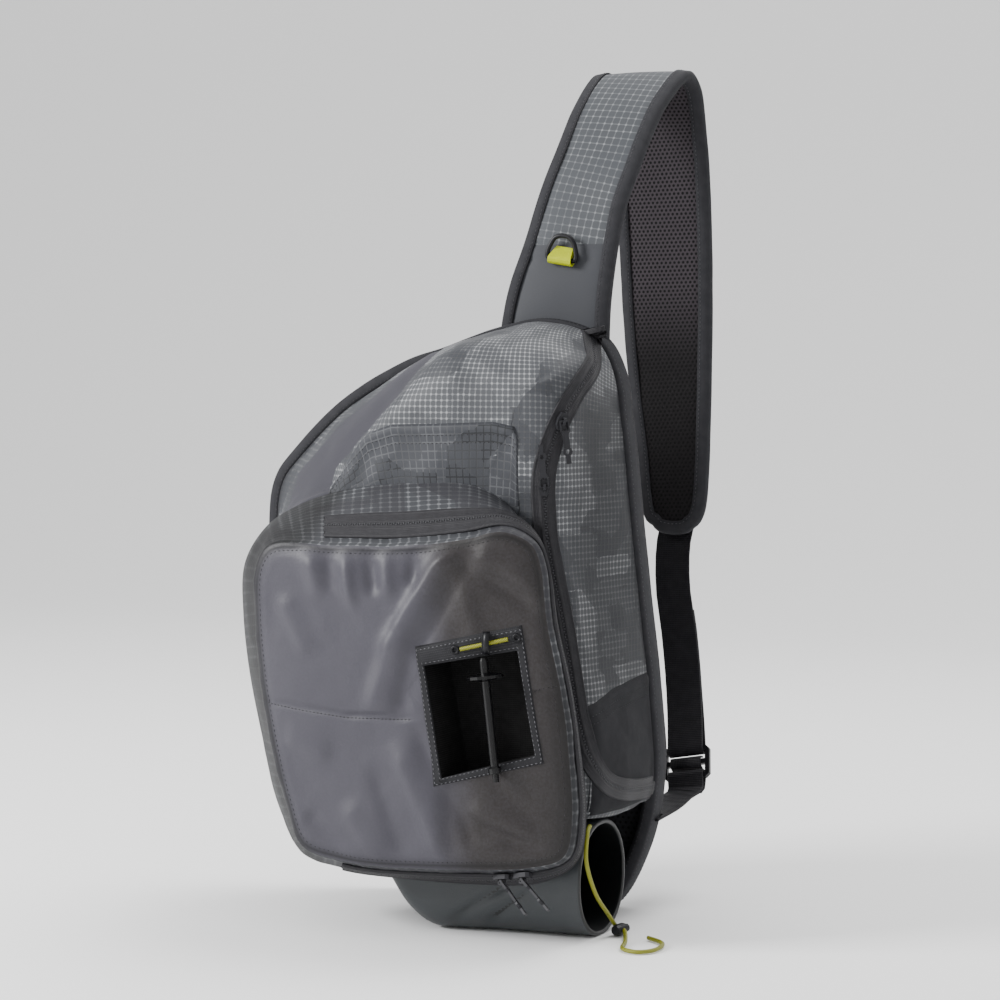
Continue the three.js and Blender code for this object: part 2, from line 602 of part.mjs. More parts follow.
const bodyTopCut = formSolid(body, SEAM_GAP, 0);
const panelCut = edgeSlab(2 * SEAM_GAP + BINDING_THICKNESS, BACK_Y - 0.5 * BINDING_WIDTH, PANEL_BACK_Y + SEAM_GAP);
const seatCut = (solid) => largest(solid.subtract(bodyTopCut).subtract(panelCut));
const shoulderStrap = seatCut(strapSolid(0, 0, 0));
const strapThrough = () => {
  const cut = strapPath.slice(0, -STRAP_END_STEPS);
  return sweepBand(cut, (i) => strapSamples[i].w * STRAP_WIDTH - 2 * STRAP_BINDING_WIDTH, 3 * STRAP_THICKNESS, strapSide);
};
const strapBinding = seatCut(
  strapSolid(SEAM_GAP + EDGE_THICKNESS, SEAM_GAP + EDGE_THICKNESS, SEAM_GAP + EDGE_THICKNESS)
    .subtract(strapSolid(SEAM_GAP, SEAM_GAP, SEAM_GAP))
    .subtract(strapThrough()),
);

const backPanel = panelSolid(0, BACK_Y + SEAM_GAP, PANEL_BACK_Y);
const backBinding = largest(bindingSolid().subtract(bodyTopCut).subtract(sleeveGrown));

// Places on the outer faces: the point where a line in a given direction meets a solid, with the face's normal
function solidGeometry(solid) {
  const m = solid.getMesh();
  const points = new Float32Array(m.numVert * 3);
  for (let i = 0; i < m.numVert; i += 1) {
    points.set(m.vertProperties.subarray(i * m.numProp, i * m.numProp + 3), i * 3);
  }
  const geometry = new THREE.BufferGeometry();
  geometry.setAttribute("position", new THREE.BufferAttribute(points, 3));
  geometry.setIndex(new THREE.BufferAttribute(m.triVerts, 1));
  return geometry;
}

function meetSurface(geometry, through, towards) {
  const mesh = new THREE.Mesh(geometry, new THREE.MeshBasicMaterial({ side: THREE.DoubleSide }));
  const start = through.clone().addScaledVector(towards, -3 * BODY_WIDTH);
  const hit = new THREE.Raycaster(start, towards.clone().normalize()).intersectObject(mesh)[0];
  return { point: hit.point, normal: hit.face.normal.clone() };
}

function surfaceFrame(geometry, through, next, towards, turn) {
  const hits = [-4, 0, 4].flatMap((d) => [-3, 3].map((e) => {
    const side = towards.clone().cross(vec(0, 0, 1)).normalize();
    return meetSurface(geometry, through.clone().addScaledVector(side, e).add(vec(0, 0, d)), towards);
  }));
  const zAxis = hits.reduce((sum, h) => sum.add(h.normal), vec(0, 0, 0)).normalize();
  const at = meetSurface(geometry, through, towards).point;
  const highest = Math.max(...hits.map((h) => h.point.clone().sub(at).dot(zAxis)));
  at.addScaledVector(zAxis, Math.max(highest, 0));
  const yAxis = meetSurface(geometry, next, towards).point.sub(at).projectOnPlane(zAxis).normalize();
  yAxis.applyAxisAngle(zAxis, (turn * Math.PI) / 180);
  return { at, xAxis: yAxis.clone().cross(zAxis), yAxis, zAxis };
}

// Zip slider: block, with a bridge that the pull's bar passes under. Local Y runs along the zip.
const BRIDGE_WIDTH = 1.8;
const BRIDGE_CLEAR = PULL_BAR + 2 * SEAM_GAP;
const BRIDGE_ROOF = 1.1;
const BLOCK_HEIGHT = SLIDER_HEIGHT - BRIDGE_ROOF;

function sliderSolid() {
  const l = SLIDER_LENGTH / 2;
  const w = SLIDER_WIDTH / 2;
  const outline = [
    [-0.55 * w, -l], [0.55 * w, -l], [w, -0.25 * l], [w, 0.6 * l], [0.7 * w, l], [-0.7 * w, l], [-w, 0.6 * l], [-w, -0.25 * l],
  ];
  const block = prism("z", outline, 0, BLOCK_HEIGHT);
  const foot = BLOCK_HEIGHT - 0.4;
  const top = BLOCK_HEIGHT + BRIDGE_CLEAR + BRIDGE_ROOF;
  const reach = BRIDGE_CLEAR * 0.72;
  const arch = [
    [-reach - 0.8, foot], [reach + 0.8, foot], [reach + 0.8, top - 0.6],
    [reach, top], [-reach, top], [-reach - 0.8, top - 0.6],
  ];
  const hole = [[-reach, BLOCK_HEIGHT], [reach, BLOCK_HEIGHT], [reach, top - BRIDGE_ROOF], [-reach, top - BRIDGE_ROOF]];
  const bridge = prism("x", arch, -BRIDGE_WIDTH / 2, BRIDGE_WIDTH / 2).subtract(prism("x", hole, -BRIDGE_WIDTH, BRIDGE_WIDTH));
  return block.add(bridge);
}

// Zip pull: an open eye, a bar, a ring and a short tail. The bar's axis is local X, the pull runs along -Y.
function pullSolid() {
  const w = PULL_WIDTH / 2;
  const arm = 1.1;
  const eye = 0.24 * PULL_LENGTH;
  const neck = 0.62 * PULL_LENGTH;
  const ringR = 0.5 * PULL_WIDTH;
  const t = 0.46 * PULL_BAR;
  const plate = prism("z", [
    [-w, 0], [-w, -eye], [-0.62 * w, -eye - 2.5], [-0.62 * w, -neck], [0.62 * w, -neck],
    [0.62 * w, -eye - 2.5], [w, -eye], [w, 0],
  ], -t, t);
  const hole = prism("z", [[-w + arm, 2], [-w + arm, -eye + 0.6], [w - arm, -eye + 0.6], [w - arm, 2]], -2 * t, 2 * t);
  const circle = (r, cy) => Array.from({ length: 10 }, (_, k) => {
    const a = (k / 10) * 2 * Math.PI;
    return [r * Math.cos(a), cy + r * Math.sin(a)];
  });
  const ringY = -neck - ringR + 0.6;
  const ring = prism("z", circle(ringR, ringY), -t, t).subtract(prism("z", circle(0.5 * ringR, ringY), -2 * t, 2 * t));
  const tail = prism("z", [
    [-0.4 * w, ringY - 0.7 * ringR], [0.4 * w, ringY - 0.7 * ringR], [0.5 * w, -PULL_LENGTH], [-0.5 * w, -PULL_LENGTH],
  ], -t, t);
  const bar = turned([[0, -w], [PULL_BAR / 2, -w], [PULL_BAR / 2, w], [0, w]], 8).rotate([0, 90, 0]);
  return plate.subtract(hole).add(bar).add(ring).add(tail);
}

const skinOuter = (form) => formSolid(form, 2 * SEAM_GAP + TAPE_THICKNESS, 0);
const bodyOuter = skinOuter(body);
const bodyOuterGeometry = solidGeometry(bodyOuter);

function zipPoint(share) {
  const s = readTable(ZIP_ROWS, share * (ZIP_ROWS.length - 1), false);
  return vec(s.x * BODY_WIDTH, FRONT_FACE_Y + s.y * BODY_DEPTH, s.z * BODY_HEIGHT);
}

const rightFront = vec(-Math.SQRT1_2, Math.SQRT1_2, 0);

function sliderPair(frame, pullTurn, lift) {
  const base = frame.at.clone().addScaledVector(frame.zAxis, SEAM_GAP);
  const slider = placed(sliderSolid(), base, frame.xAxis, frame.yAxis, frame.zAxis);
  const hinge = base.clone().addScaledVector(frame.zAxis, BLOCK_HEIGHT + BRIDGE_CLEAR / 2);
  const turn = (pullTurn * Math.PI) / 180;
  const px = frame.xAxis.clone().applyAxisAngle(frame.zAxis, turn);
  const py = frame.yAxis.clone().negate().applyAxisAngle(frame.zAxis, turn);
  py.applyAxisAngle(px, (lift * Math.PI) / 180);
  const pull = placed(pullSolid(), hinge, px, py, px.clone().cross(py));
  return { slider, pull, hinge, axis: px };
}

// Main zip sliders: the upper one hangs down, the lower one is flipped up
const upperSlider = sliderPair(surfaceFrame(bodyOuterGeometry, zipPoint(0.28), zipPoint(0.31), rightFront, 8), 22, 0);
const lowerSlider = sliderPair(surfaceFrame(bodyOuterGeometry, zipPoint(0.385), zipPoint(0.34), rightFront, 0), 12, 0);

// Pocket zip sliders, side by side under the pocket, their pulls hanging free
const pocketGeometry = solidGeometry(skinOuter(pocket));
const SLIDER_SPACING = 1.25 * SLIDER_LENGTH;
const PULL_LIFT = 50;

function pocketSlider(shift) {
  const x = 0.09 * BODY_WIDTH + shift;
  const y = POCKET_BACK_Y - 0.62 * POCKET_DEPTH;
  const up = vec(0, 0.25, 0.97);
  const at = meetSurface(pocketGeometry, vec(x, y, 0.2 * BODY_HEIGHT), up);
  const next = meetSurface(pocketGeometry, vec(x + 5, y, 0.2 * BODY_HEIGHT), up);
  const zAxis = at.normal.clone();
  const yAxis = next.point.clone().sub(at.point).projectOnPlane(zAxis).normalize();
  return sliderPair({ at: at.point, xAxis: yAxis.clone().cross(zAxis), yAxis, zAxis }, 0, PULL_LIFT);
}

const pocketSliderLeft = pocketSlider(0);
const pocketSliderRight = pocketSlider(SLIDER_SPACING);

// Strap fittings: a place on the strap's front face, with its directions
function strapFrame(height) {
  const i = strapPath.findIndex((p) => p.z > height);
  const t = (height - strapPath[i - 1].z) / (strapPath[i].z - strapPath[i - 1].z);
  const at = strapPath[i - 1].clone().lerp(strapPath[i], t);
  const yAxis = strapPath[i + 1].clone().sub(strapPath[i - 2]).normalize();
  const xAxis = strapSide.clone().projectOnPlane(yAxis).normalize();
  const zAxis = xAxis.clone().cross(yAxis);
  return { at: at.addScaledVector(zAxis, STRAP_THICKNESS / 2), xAxis, yAxis, zAxis };
}

const TAB_THICKNESS = 1.2;
const ringFrame = strapFrame(BODY_HEIGHT + 0.218 * STRAP_RISE);
const ringHeight = SEAM_GAP + TAB_THICKNESS + SEAM_GAP + RING_BAR / Math.SQRT2;
const ringAt = ringFrame.at.clone().addScaledVector(ringFrame.zAxis, ringHeight).addScaledVector(ringFrame.xAxis, -1.5);

function ringSolid() {
  const w = RING_WIDTH / 2;
  const h = RING_HEIGHT;
  const t = RING_BAR / 2;
  const outer = [
    [-w, -t], [w, -t], [w, 0.28 * h], [0.72 * w, 0.72 * h], [0.42 * w, 0.93 * h], [0, h - t],
    [-0.3 * w, h - t], [-0.66 * w, 0.93 * h], [-0.84 * w, 0.72 * h], [-w, 0.28 * h],
  ];
  const flat = outer.map(([x, y]) => new THREE.Vector2(x, y));
  const inner = offsetOutline(flat, flat.map(() => -RING_BAR)).map((p) => [p.x, p.y]);
  return prism("z", outer, -t, t).subtract(prism("z", inner, -2 * t, 2 * t));
}

function tabSolid() {
  const bar = RING_BAR / Math.SQRT2 + SEAM_GAP;
  const top = 0.47 * RING_HEIGHT;
  const arc = (r, from, to) => Array.from({ length: 9 }, (_, k) => {
    const a = (mix(from, to, k / 8) * Math.PI) / 180;
    return [r * Math.cos(a), r * Math.sin(a)];
  });
  const face = -(ringHeight - SEAM_GAP);
  const low = arc(bar + TAB_THICKNESS, -180, 40).map(([z, y]) => [y, Math.max(z, face)]);
  const outer = [...low, [top, face + 1.6 * TAB_THICKNESS], [top, face]];
  const hollow = arc(bar, -180, 40).map(([z, y]) => [y, Math.max(z, face + TAB_THICKNESS)]);
  const inner = [...hollow, [0.6 * top, face + 1.25 * TAB_THICKNESS], [0.6 * top, face + TAB_THICKNESS]];
  const w = RING_WIDTH / 2 - RING_BAR - SEAM_GAP;
  const loop = prism("x", outer, -w, w).subtract(prism("x", inner, -2 * w, 2 * w));
  const taper = prism("z", [[-w, -2 * bar], [w, -2 * bar], [0.94 * w, 1], [0.66 * w, top + 1], [-0.66 * w, top + 1], [-0.94 * w, 1]], -20, 20);
  return loop.intersect(taper);
}

const dRing = placed(ringSolid(), ringAt, ringFrame.xAxis, ringFrame.yAxis, ringFrame.zAxis);
const ringTab = placed(tabSolid(), ringAt, ringFrame.xAxis, ringFrame.yAxis, ringFrame.zAxis);

// Webbing below the strap's padded end, and from the body up to the buckle: a row for each point of the
// centre line, in the strap table's shares.
const WEBBING_ROWS = [
  { x: 0.55, y: 1.0, z: -0.93 },
  { x: 0.57, y: 0.965, z: -1.1 },
  { x: 0.66, y: 0.93, z: -1.28 },
  { x: 0.75, y: 0.87, z: -1.47 },
  { x: 0.84, y: 0.77, z: -1.63 },
  { x: 0.9, y: 0.685, z: -1.74 },
];
const LOWER_ROWS = [
  { x: 0.92, y: -0.04, z: -1.955 },
  { x: 0.94, y: 0.3, z: -1.935 },
  { x: 0.96, y: 0.44, z: -1.915 },
];
const PATCH_THICKNESS = 1.4;
const seatLift = STRAP_THICKNESS / 2 + SEAM_GAP + EDGE_THICKNESS + SEAM_GAP;
const webbingLift = seatLift + PATCH_THICKNESS + SEAM_GAP + WEBBING_THICKNESS / 2;
const anchorPath = strapPath.slice(-ANCHOR_STEPS - 1, -1);
const webbingOnStrap = anchorPath.slice(1).map((p) => p.clone().add(vec(0, webbingLift, 0)));
const webbingLast = webbingOnStrap[webbingOnStrap.length - 1];
const webbingCurve = new THREE.CatmullRomCurve3([webbingLast, ...WEBBING_ROWS.map(strapPoint)]);
const webbingPath = [...webbingOnStrap, ...webbingCurve.getPoints(14).slice(1)];

// The buckle lies between the two ends, its own Y up along the webbing
const buckleTop = webbingPath[webbingPath.length - 1];
const buckleY = webbingPath[webbingPath.length - 3].clone().sub(buckleTop).normalize();
const buckleX = strapSide.clone().projectOnPlane(buckleY).normalize();
const buckleZ = buckleX.clone().cross(buckleY);
const BUCKLE_BAR = 4;
const loopRadius = Math.hypot(BUCKLE_BAR, BUCKLE_THICKNESS) / 2 + SEAM_GAP + WEBBING_THICKNESS / 2;
const barStep = (BUCKLE_HEIGHT - BUCKLE_BAR) / 2;
const buckleAt = buckleTop.clone().addScaledVector(buckleY, -barStep).addScaledVector(buckleZ, -loopRadius);

function buckleSolid() {
  const w = BUCKLE_WIDTH / 2;
  const h = BUCKLE_HEIGHT / 2;
  const t = BUCKLE_THICKNESS / 2;
  const c = 3;
  const plate = prism("z", [
    [-w + c, -h], [w - c, -h], [w, -h + c], [w, h - c], [w - c, h], [-w + c, h], [-w, h - c], [-w, -h + c],
  ], -t, t);
  const slotW = WEBBING_WIDTH / 2 + 1;
  const slot = (y) => prism("z", [
    [-slotW, y - barStep + BUCKLE_BAR / 2], [slotW, y - barStep + BUCKLE_BAR / 2],
    [slotW, y - BUCKLE_BAR / 2], [-slotW, y - BUCKLE_BAR / 2],
  ], -2 * t, 2 * t);
  return plate.subtract(slot(barStep)).subtract(slot(0));
}

const sliderBuckle = placed(buckleSolid(), buckleAt, buckleX, buckleY, buckleZ);

// A band that comes to a bar, turns round it and lies back along itself
function loopedBand(path, bar, along, normal, backSteps, straight) {
  const spread = WEBBING_THICKNESS + 2 * SEAM_GAP;
  const turn = [];
  for (let k = 1; k < 8; k += 1) {
    const a = (k / 8) * Math.PI;
    turn.push(bar.clone().addScaledVector(normal, loopRadius * Math.cos(a)).addScaledVector(along, -loopRadius * Math.sin(a)));
  }
  const start = bar.clone().addScaledVector(normal, loopRadius);
  const end = bar.clone().addScaledVector(normal, -loopRadius);
  const back = [];
  for (let k = 1; k <= backSteps; k += 1) {
    const p = path[path.length - 1 - k];
    const near = Math.max(spread, 2 * loopRadius - (2 * loopRadius - spread) * (k / Math.min(4, backSteps)));
    back.push(p.clone().addScaledVector(normal, -near));
  }
  const whole = [...path.slice(0, -1), start, ...turn, end, ...back];
  const side = (i) => strapSide.clone().lerp(buckleX, Math.min(Math.max((i - straight) / 6, 0), 1));
  return sweepBand(whole, () => WEBBING_WIDTH, WEBBING_THICKNESS, side);
}

const topBar = buckleAt.clone().addScaledVector(buckleY, barStep);
const bottomBar = buckleAt.clone().addScaledVector(buckleY, -barStep);
const strapWebbing = loopedBand(webbingPath, topBar, buckleY, buckleZ, 8, ANCHOR_STEPS);
const lowerEnd = bottomBar.clone().addScaledVector(buckleZ, loopRadius);
const lowerRise = lowerEnd.clone().addScaledVector(buckleY, -1.1 * barStep);
const lowerWhole = new THREE.CatmullRomCurve3([...LOWER_ROWS.map(strapPoint), lowerRise, lowerEnd]).getPoints(10);
const lowerLoop = loopedBand(lowerWhole, bottomBar, buckleY.clone().negate(), buckleZ, 3, 2);
const lowerWebbing = seatCut(lowerLoop);

// The sewn patch where the webbing leaves the strap
const anchorLift = seatLift + PATCH_THICKNESS / 2;
const anchorNormal = vec(0, 1, 0);
const anchorBand = sweepBand(
  anchorPath.map((p) => p.clone().addScaledVector(anchorNormal, anchorLift)),
  (i) => mix(1.5, 1.1, i / (ANCHOR_STEPS - 1)) * WEBBING_WIDTH,
  PATCH_THICKNESS,
  strapSide,
);
const clearOfStrap = 2 * SEAM_GAP + EDGE_THICKNESS;
const grownStrap = strapSolid(clearOfStrap, clearOfStrap, clearOfStrap);
const webbingAnchor = largest(anchorBand.subtract(grownStrap));

// Tippet holder: elastic across the top band, and a post with a disc and a toggle in the well
const windowX = (u) => u * BODY_WIDTH;
const frameGeometry = solidGeometry(formSolid(pocket, 2 * SEAM_GAP + TAPE_THICKNESS, 0));
const onFrame = (u, v) => meetSurface(frameGeometry, vec(windowX(u), POCKET_BACK_Y, v * BODY_HEIGHT), vec(0, 1, 0)).point;
const cordLift = TIPPET_CORD_DIAMETER / 2 + SEAM_GAP;
const cordEnds = [onFrame(0.008, 0.474), onFrame(0.11, 0.492)];
const tippetCord = tubeSolid([
  cordEnds[0].clone().add(vec(0, -cordLift, 0)),
  cordEnds[0].clone().lerp(cordEnds[1], 0.3).add(vec(0, -cordLift - 0.6, 0)),
  cordEnds[0].clone().lerp(cordEnds[1], 0.6).add(vec(0, -cordLift - 0.8, 0)),
  cordEnds[1].clone().add(vec(0, -cordLift, 0)),
], TIPPET_CORD_DIAMETER / 2, 8, false);

const postFlange = POST_DIAMETER / 2 + 1.5;
const postClear = vec(0, -postFlange, 0);
const postTop = onFrame(0.062, 0.462).add(postClear);
const postFoot = onFrame(0.094, 0.268).add(postClear);
const postLength = postTop.distanceTo(postFoot);
const postRadius = POST_DIAMETER / 2;
const postShape = turned([
  [0, 0], [2.2, 0], [2.2, 5.5], [postFlange, 6], [postFlange, 9.5], [postRadius, 11], [postRadius, postLength - 16],
  [DISC_DIAMETER / 2, postLength - 14], [DISC_DIAMETER / 2, postLength - 12], [postRadius, postLength - 10],
  [postRadius, postLength - 2], [postRadius - 1.2, postLength], [0, postLength],
], 12);
const postAxis = postTop.clone().sub(postFoot).normalize();
const postX = vec(1, 0, 0).projectOnPlane(postAxis).normalize();
const tippetPost = placed(postShape, postFoot, postX, postAxis.clone().cross(postX), postAxis);

// Retention cord: from the body's lower edge down past the mouth, through its lock and in a loop on the floor
const cordR = RETENTION_CORD_DIAMETER / 2;
const mouthX = SLEEVE_ROWS[SLEEVE_ROWS.length - 1].x * BODY_WIDTH + cordR + 3;
const floorZ = cordR + 0.05;
const cordPath = [
  vec(mouthX - 5, FRONT_FACE_Y + 0.06 * BODY_DEPTH, 1.06 * SLEEVE_HEIGHT),
  vec(mouthX, FRONT_FACE_Y - 0.1 * BODY_DEPTH, 0.95 * SLEEVE_HEIGHT),
  vec(mouthX + 2, FRONT_FACE_Y - 0.16 * BODY_DEPTH, 0.72 * SLEEVE_HEIGHT),
  vec(mouthX + 4, FRONT_FACE_Y - 0.06 * BODY_DEPTH, 0.43 * SLEEVE_HEIGHT),
  vec(mouthX + 5, FRONT_FACE_Y + 0.13 * BODY_DEPTH, 0.2 * SLEEVE_HEIGHT),
  vec(mouthX + 7, FRONT_FACE_Y + 0.24 * BODY_DEPTH, 4.5),
  vec(mouthX + 14, FRONT_FACE_Y + 0.2 * BODY_DEPTH, 4.2),
  vec(mouthX + 24, FRONT_FACE_Y, floorZ),
  vec(mouthX + 31, FRONT_FACE_Y - 0.2 * BODY_DEPTH, floorZ),
  vec(mouthX + 44, FRONT_FACE_Y - 0.26 * BODY_DEPTH, floorZ),
  vec(mouthX + 53, FRONT_FACE_Y - 0.16 * BODY_DEPTH, floorZ),
  vec(mouthX + 50, FRONT_FACE_Y + 0.04 * BODY_DEPTH, floorZ),
  vec(mouthX + 34, FRONT_FACE_Y + 0.16 * BODY_DEPTH, floorZ),
];
const retentionCord = largest(tubeSolid(cordPath, cordR, 8, false)
  .subtract(bodyOuter)
  .subtract(sleeveGrown)
  .subtract(pocketGrown));
const lockProfile = [
  [0, -0.5 * CORD_LOCK_LENGTH], [3.4, -0.5 * CORD_LOCK_LENGTH], [4.2, -0.35 * CORD_LOCK_LENGTH], [4.2, 0.15 * CORD_LOCK_LENGTH],
  [2.9, 0.2 * CORD_LOCK_LENGTH], [2.9, 0.45 * CORD_LOCK_LENGTH], [0, 0.5 * CORD_LOCK_LENGTH],
];
const lockAxis = vec(0.2, 0.98, 0).normalize();
const lockX = vec(0, 0, 1);
const lockAt = vec(mouthX + 10.5, FRONT_FACE_Y + 0.225 * BODY_DEPTH, 4.35);
const cordLock = placed(turned(lockProfile, 10), lockAt, lockX, lockAxis.clone().cross(lockX), lockAxis)
  .subtract(tubeSolid(cordPath, cordR + SEAM_GAP, 8, false));

// Nodes
const finishes = {
  coated: { color: 0x76737c, roughness: 0.45 },
  ripstop: { color: 0x7c868c, roughness: 0.7 },
  dark: { color: 0x3a393f, roughness: 0.8 },
  base: { color: 0x586468, roughness: 0.6 },
  plastic: { color: 0x26262b, roughness: 0.4 },
  yellow: { color: 0xc3c332, roughness: 0.6 },
};
const material = Object.fromEntries(
  Object.entries(finishes).map(([name, f]) => [name, new THREE.MeshStandardMaterial(f)]),
);

const group = new THREE.Group();
group.name = "fishing_tackle_sling_bag";

function addNode(name, solid, slot) {
  const m = solid.getMesh();
  const points = new Float32Array(m.numVert * 3);
  for (let i = 0; i < m.numVert; i += 1) {
    points.set(m.vertProperties.subarray(i * m.numProp, i * m.numProp + 3), i * 3);
  }
  const geometry = new THREE.BufferGeometry();
  geometry.setAttribute("position", new THREE.BufferAttribute(points, 3));
  geometry.setIndex(new THREE.BufferAttribute(m.triVerts, 1));
  geometry.computeVertexNormals();
  const mesh = new THREE.Mesh(geometry, material[slot]);
  mesh.name = name;
  group.add(mesh);
}

addNode("main_body", mainBody, "ripstop");
addNode("back_panel", backPanel, "dark");
addNode("back_binding", backBinding, "dark");
addNode("front_pocket", frontPocket, "coated");
addNode("pocket_zip_tape", pocketZipTape, "dark");
addNode("main_zip_tape", mainZipTape, "dark");
addNode("slash_pocket", slashPocket, "dark");
addNode("fly_patch", flyPatch, "dark");
addNode("base_sleeve", baseSleeve, "base");
addNode("window_frame", windowFrame, "dark");
addNode("window_well", windowWell, "dark");
addNode("shoulder_strap", shoulderStrap, "ripstop");
addNode("strap_binding", strapBinding, "dark");

addNode("main_zip_slider_upper", upperSlider.slider, "plastic");
addNode("main_zip_pull_upper", upperSlider.pull, "plastic");
addNode("main_zip_slider_lower", lowerSlider.slider, "plastic");
addNode("main_zip_pull_lower", lowerSlider.pull, "plastic");
addNode("pocket_zip_slider_left", pocketSliderLeft.slider, "plastic");
addNode("pocket_zip_pull_left", pocketSliderLeft.pull, "plastic");
addNode("pocket_zip_slider_right", pocketSliderRight.slider, "plastic");
addNode("pocket_zip_pull_right", pocketSliderRight.pull, "plastic");
addNode("d_ring", dRing, "plastic");
addNode("d_ring_tab", ringTab, "yellow");
addNode("webbing_anchor", webbingAnchor, "dark");
addNode("strap_webbing", strapWebbing, "dark");
addNode("slider_buckle", sliderBuckle, "plastic");
addNode("lower_webbing", lowerWebbing, "dark");
addNode("tippet_cord", tippetCord, "yellow");
addNode("tippet_post", tippetPost, "plastic");
addNode("retention_cord", retentionCord, "yellow");
addNode("cord_lock", cordLock, "plastic");

export default group;
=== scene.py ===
"""Dressed look of a fishing tackle sling bag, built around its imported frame."""

import json
import logging
import math
from dataclasses import dataclass, field
from enum import Enum
from typing import Any, Callable, Sequence

import bmesh
import bpy
import numpy as np
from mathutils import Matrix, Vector, noise
from mathutils.bvhtree import BVHTree


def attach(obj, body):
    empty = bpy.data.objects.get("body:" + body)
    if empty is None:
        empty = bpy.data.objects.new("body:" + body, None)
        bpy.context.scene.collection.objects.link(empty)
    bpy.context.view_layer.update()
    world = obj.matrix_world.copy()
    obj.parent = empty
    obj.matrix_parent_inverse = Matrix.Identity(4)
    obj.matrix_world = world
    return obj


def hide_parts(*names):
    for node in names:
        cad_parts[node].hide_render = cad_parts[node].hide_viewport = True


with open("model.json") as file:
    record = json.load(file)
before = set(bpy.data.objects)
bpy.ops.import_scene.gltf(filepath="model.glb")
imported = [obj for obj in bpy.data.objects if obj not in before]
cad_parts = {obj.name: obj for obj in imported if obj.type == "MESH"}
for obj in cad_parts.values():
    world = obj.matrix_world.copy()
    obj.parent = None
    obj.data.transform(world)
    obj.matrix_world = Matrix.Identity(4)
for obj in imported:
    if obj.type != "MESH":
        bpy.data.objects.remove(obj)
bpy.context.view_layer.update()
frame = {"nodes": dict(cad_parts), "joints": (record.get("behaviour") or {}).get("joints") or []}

LOG = logging.getLogger("sling_bag")
Array = np.ndarray
Colour = tuple[float, float, float]
Places = tuple[tuple[float, float], ...]
Rows = tuple[tuple[float, ...], ...]
MM = 0.001

# Sizes of the frame's solids, in millimetres
BODY_HEIGHT = 436.0
BODY_WIDTH = 326.0
BODY_DEPTH = 110.0
FRONT_FACE_Y = -30.0
POCKET_DEPTH = 60.0
BACK_Y = FRONT_FACE_Y + BODY_DEPTH
POCKET_BACK_Y = FRONT_FACE_Y - 1.9
BINDING_WIDTH = 20.0
SLEEVE_HEIGHT = 81.0
SLEEVE_WALL = 3.0
STRAP_RISE = 188.0
STRAP_REACH = 126.0
STRAP_WIDTH = 74.0
STRAP_THICKNESS = 9.0
CORD_DIAMETER = 3.0

# A stitch: its height and its foot as shares of half its width, and how far its ends sink in
STITCH_CROWN = 0.9
STITCH_FOOT = 0.6
STITCH_SINK = 0.1

RAY_START = 1000.0
DIAGONAL = math.sqrt(0.5)
OUTSIDE_ZONE = -20.0
BAG = "bag"


class Layer(Enum):
    """Names of the numbers that a cloth's mesh carries for its finish."""

    CLOTH = "cloth_mm"
    ZONE = "zone_mm"
    # How much a cloth's colour is darkened: mostly painted shade where it turns from the light or lies in
    # a recess.
    SHADE = "shade"


@dataclass(frozen=True)
class Table:
    """Rows with named columns, read between the rows by a smooth curve."""

    columns: tuple[str, ...]
    rows: Rows
    closed: bool = True

    def read(self, where: Array) -> dict[str, Array]:
        """Reads every column at places counted in rows.

        Args:
            where: Places, in rows from the first.

        Returns:
            A column name to its values.
        """
        data = np.array(self.rows, float)
        count = len(data)
        last = count - 1 if self.closed else count - 2
        base = np.clip(np.floor(where).astype(int), 0, last)
        t = (where - base)[:, None]

        def pick(shift: int) -> Array:
            """The rows that lie a number of rows away."""
            index = base + shift
            return data[index % count if self.closed else np.clip(index, 0, count - 1)]

        a, b, c, d = (pick(k) for k in (-1, 0, 1, 2))
        value = 2 * b + (c - a) * t
        value += (2 * a - 5 * b + 4 * c - d) * t**2
        value += (3 * b - a - 3 * c + d) * t**3
        return {name: 0.5 * value[:, i] for i, name in enumerate(self.columns)}

    def sample(self, count: int) -> dict[str, Array]:
        """Reads the whole table in even steps.

        Args:
            count: How many places.

        Returns:
            A column name to its values.
        """
        if self.closed:
            return self.read(np.arange(count) / count * len(self.rows))
        return self.read(np.linspace(0, len(self.rows) - 1, count))


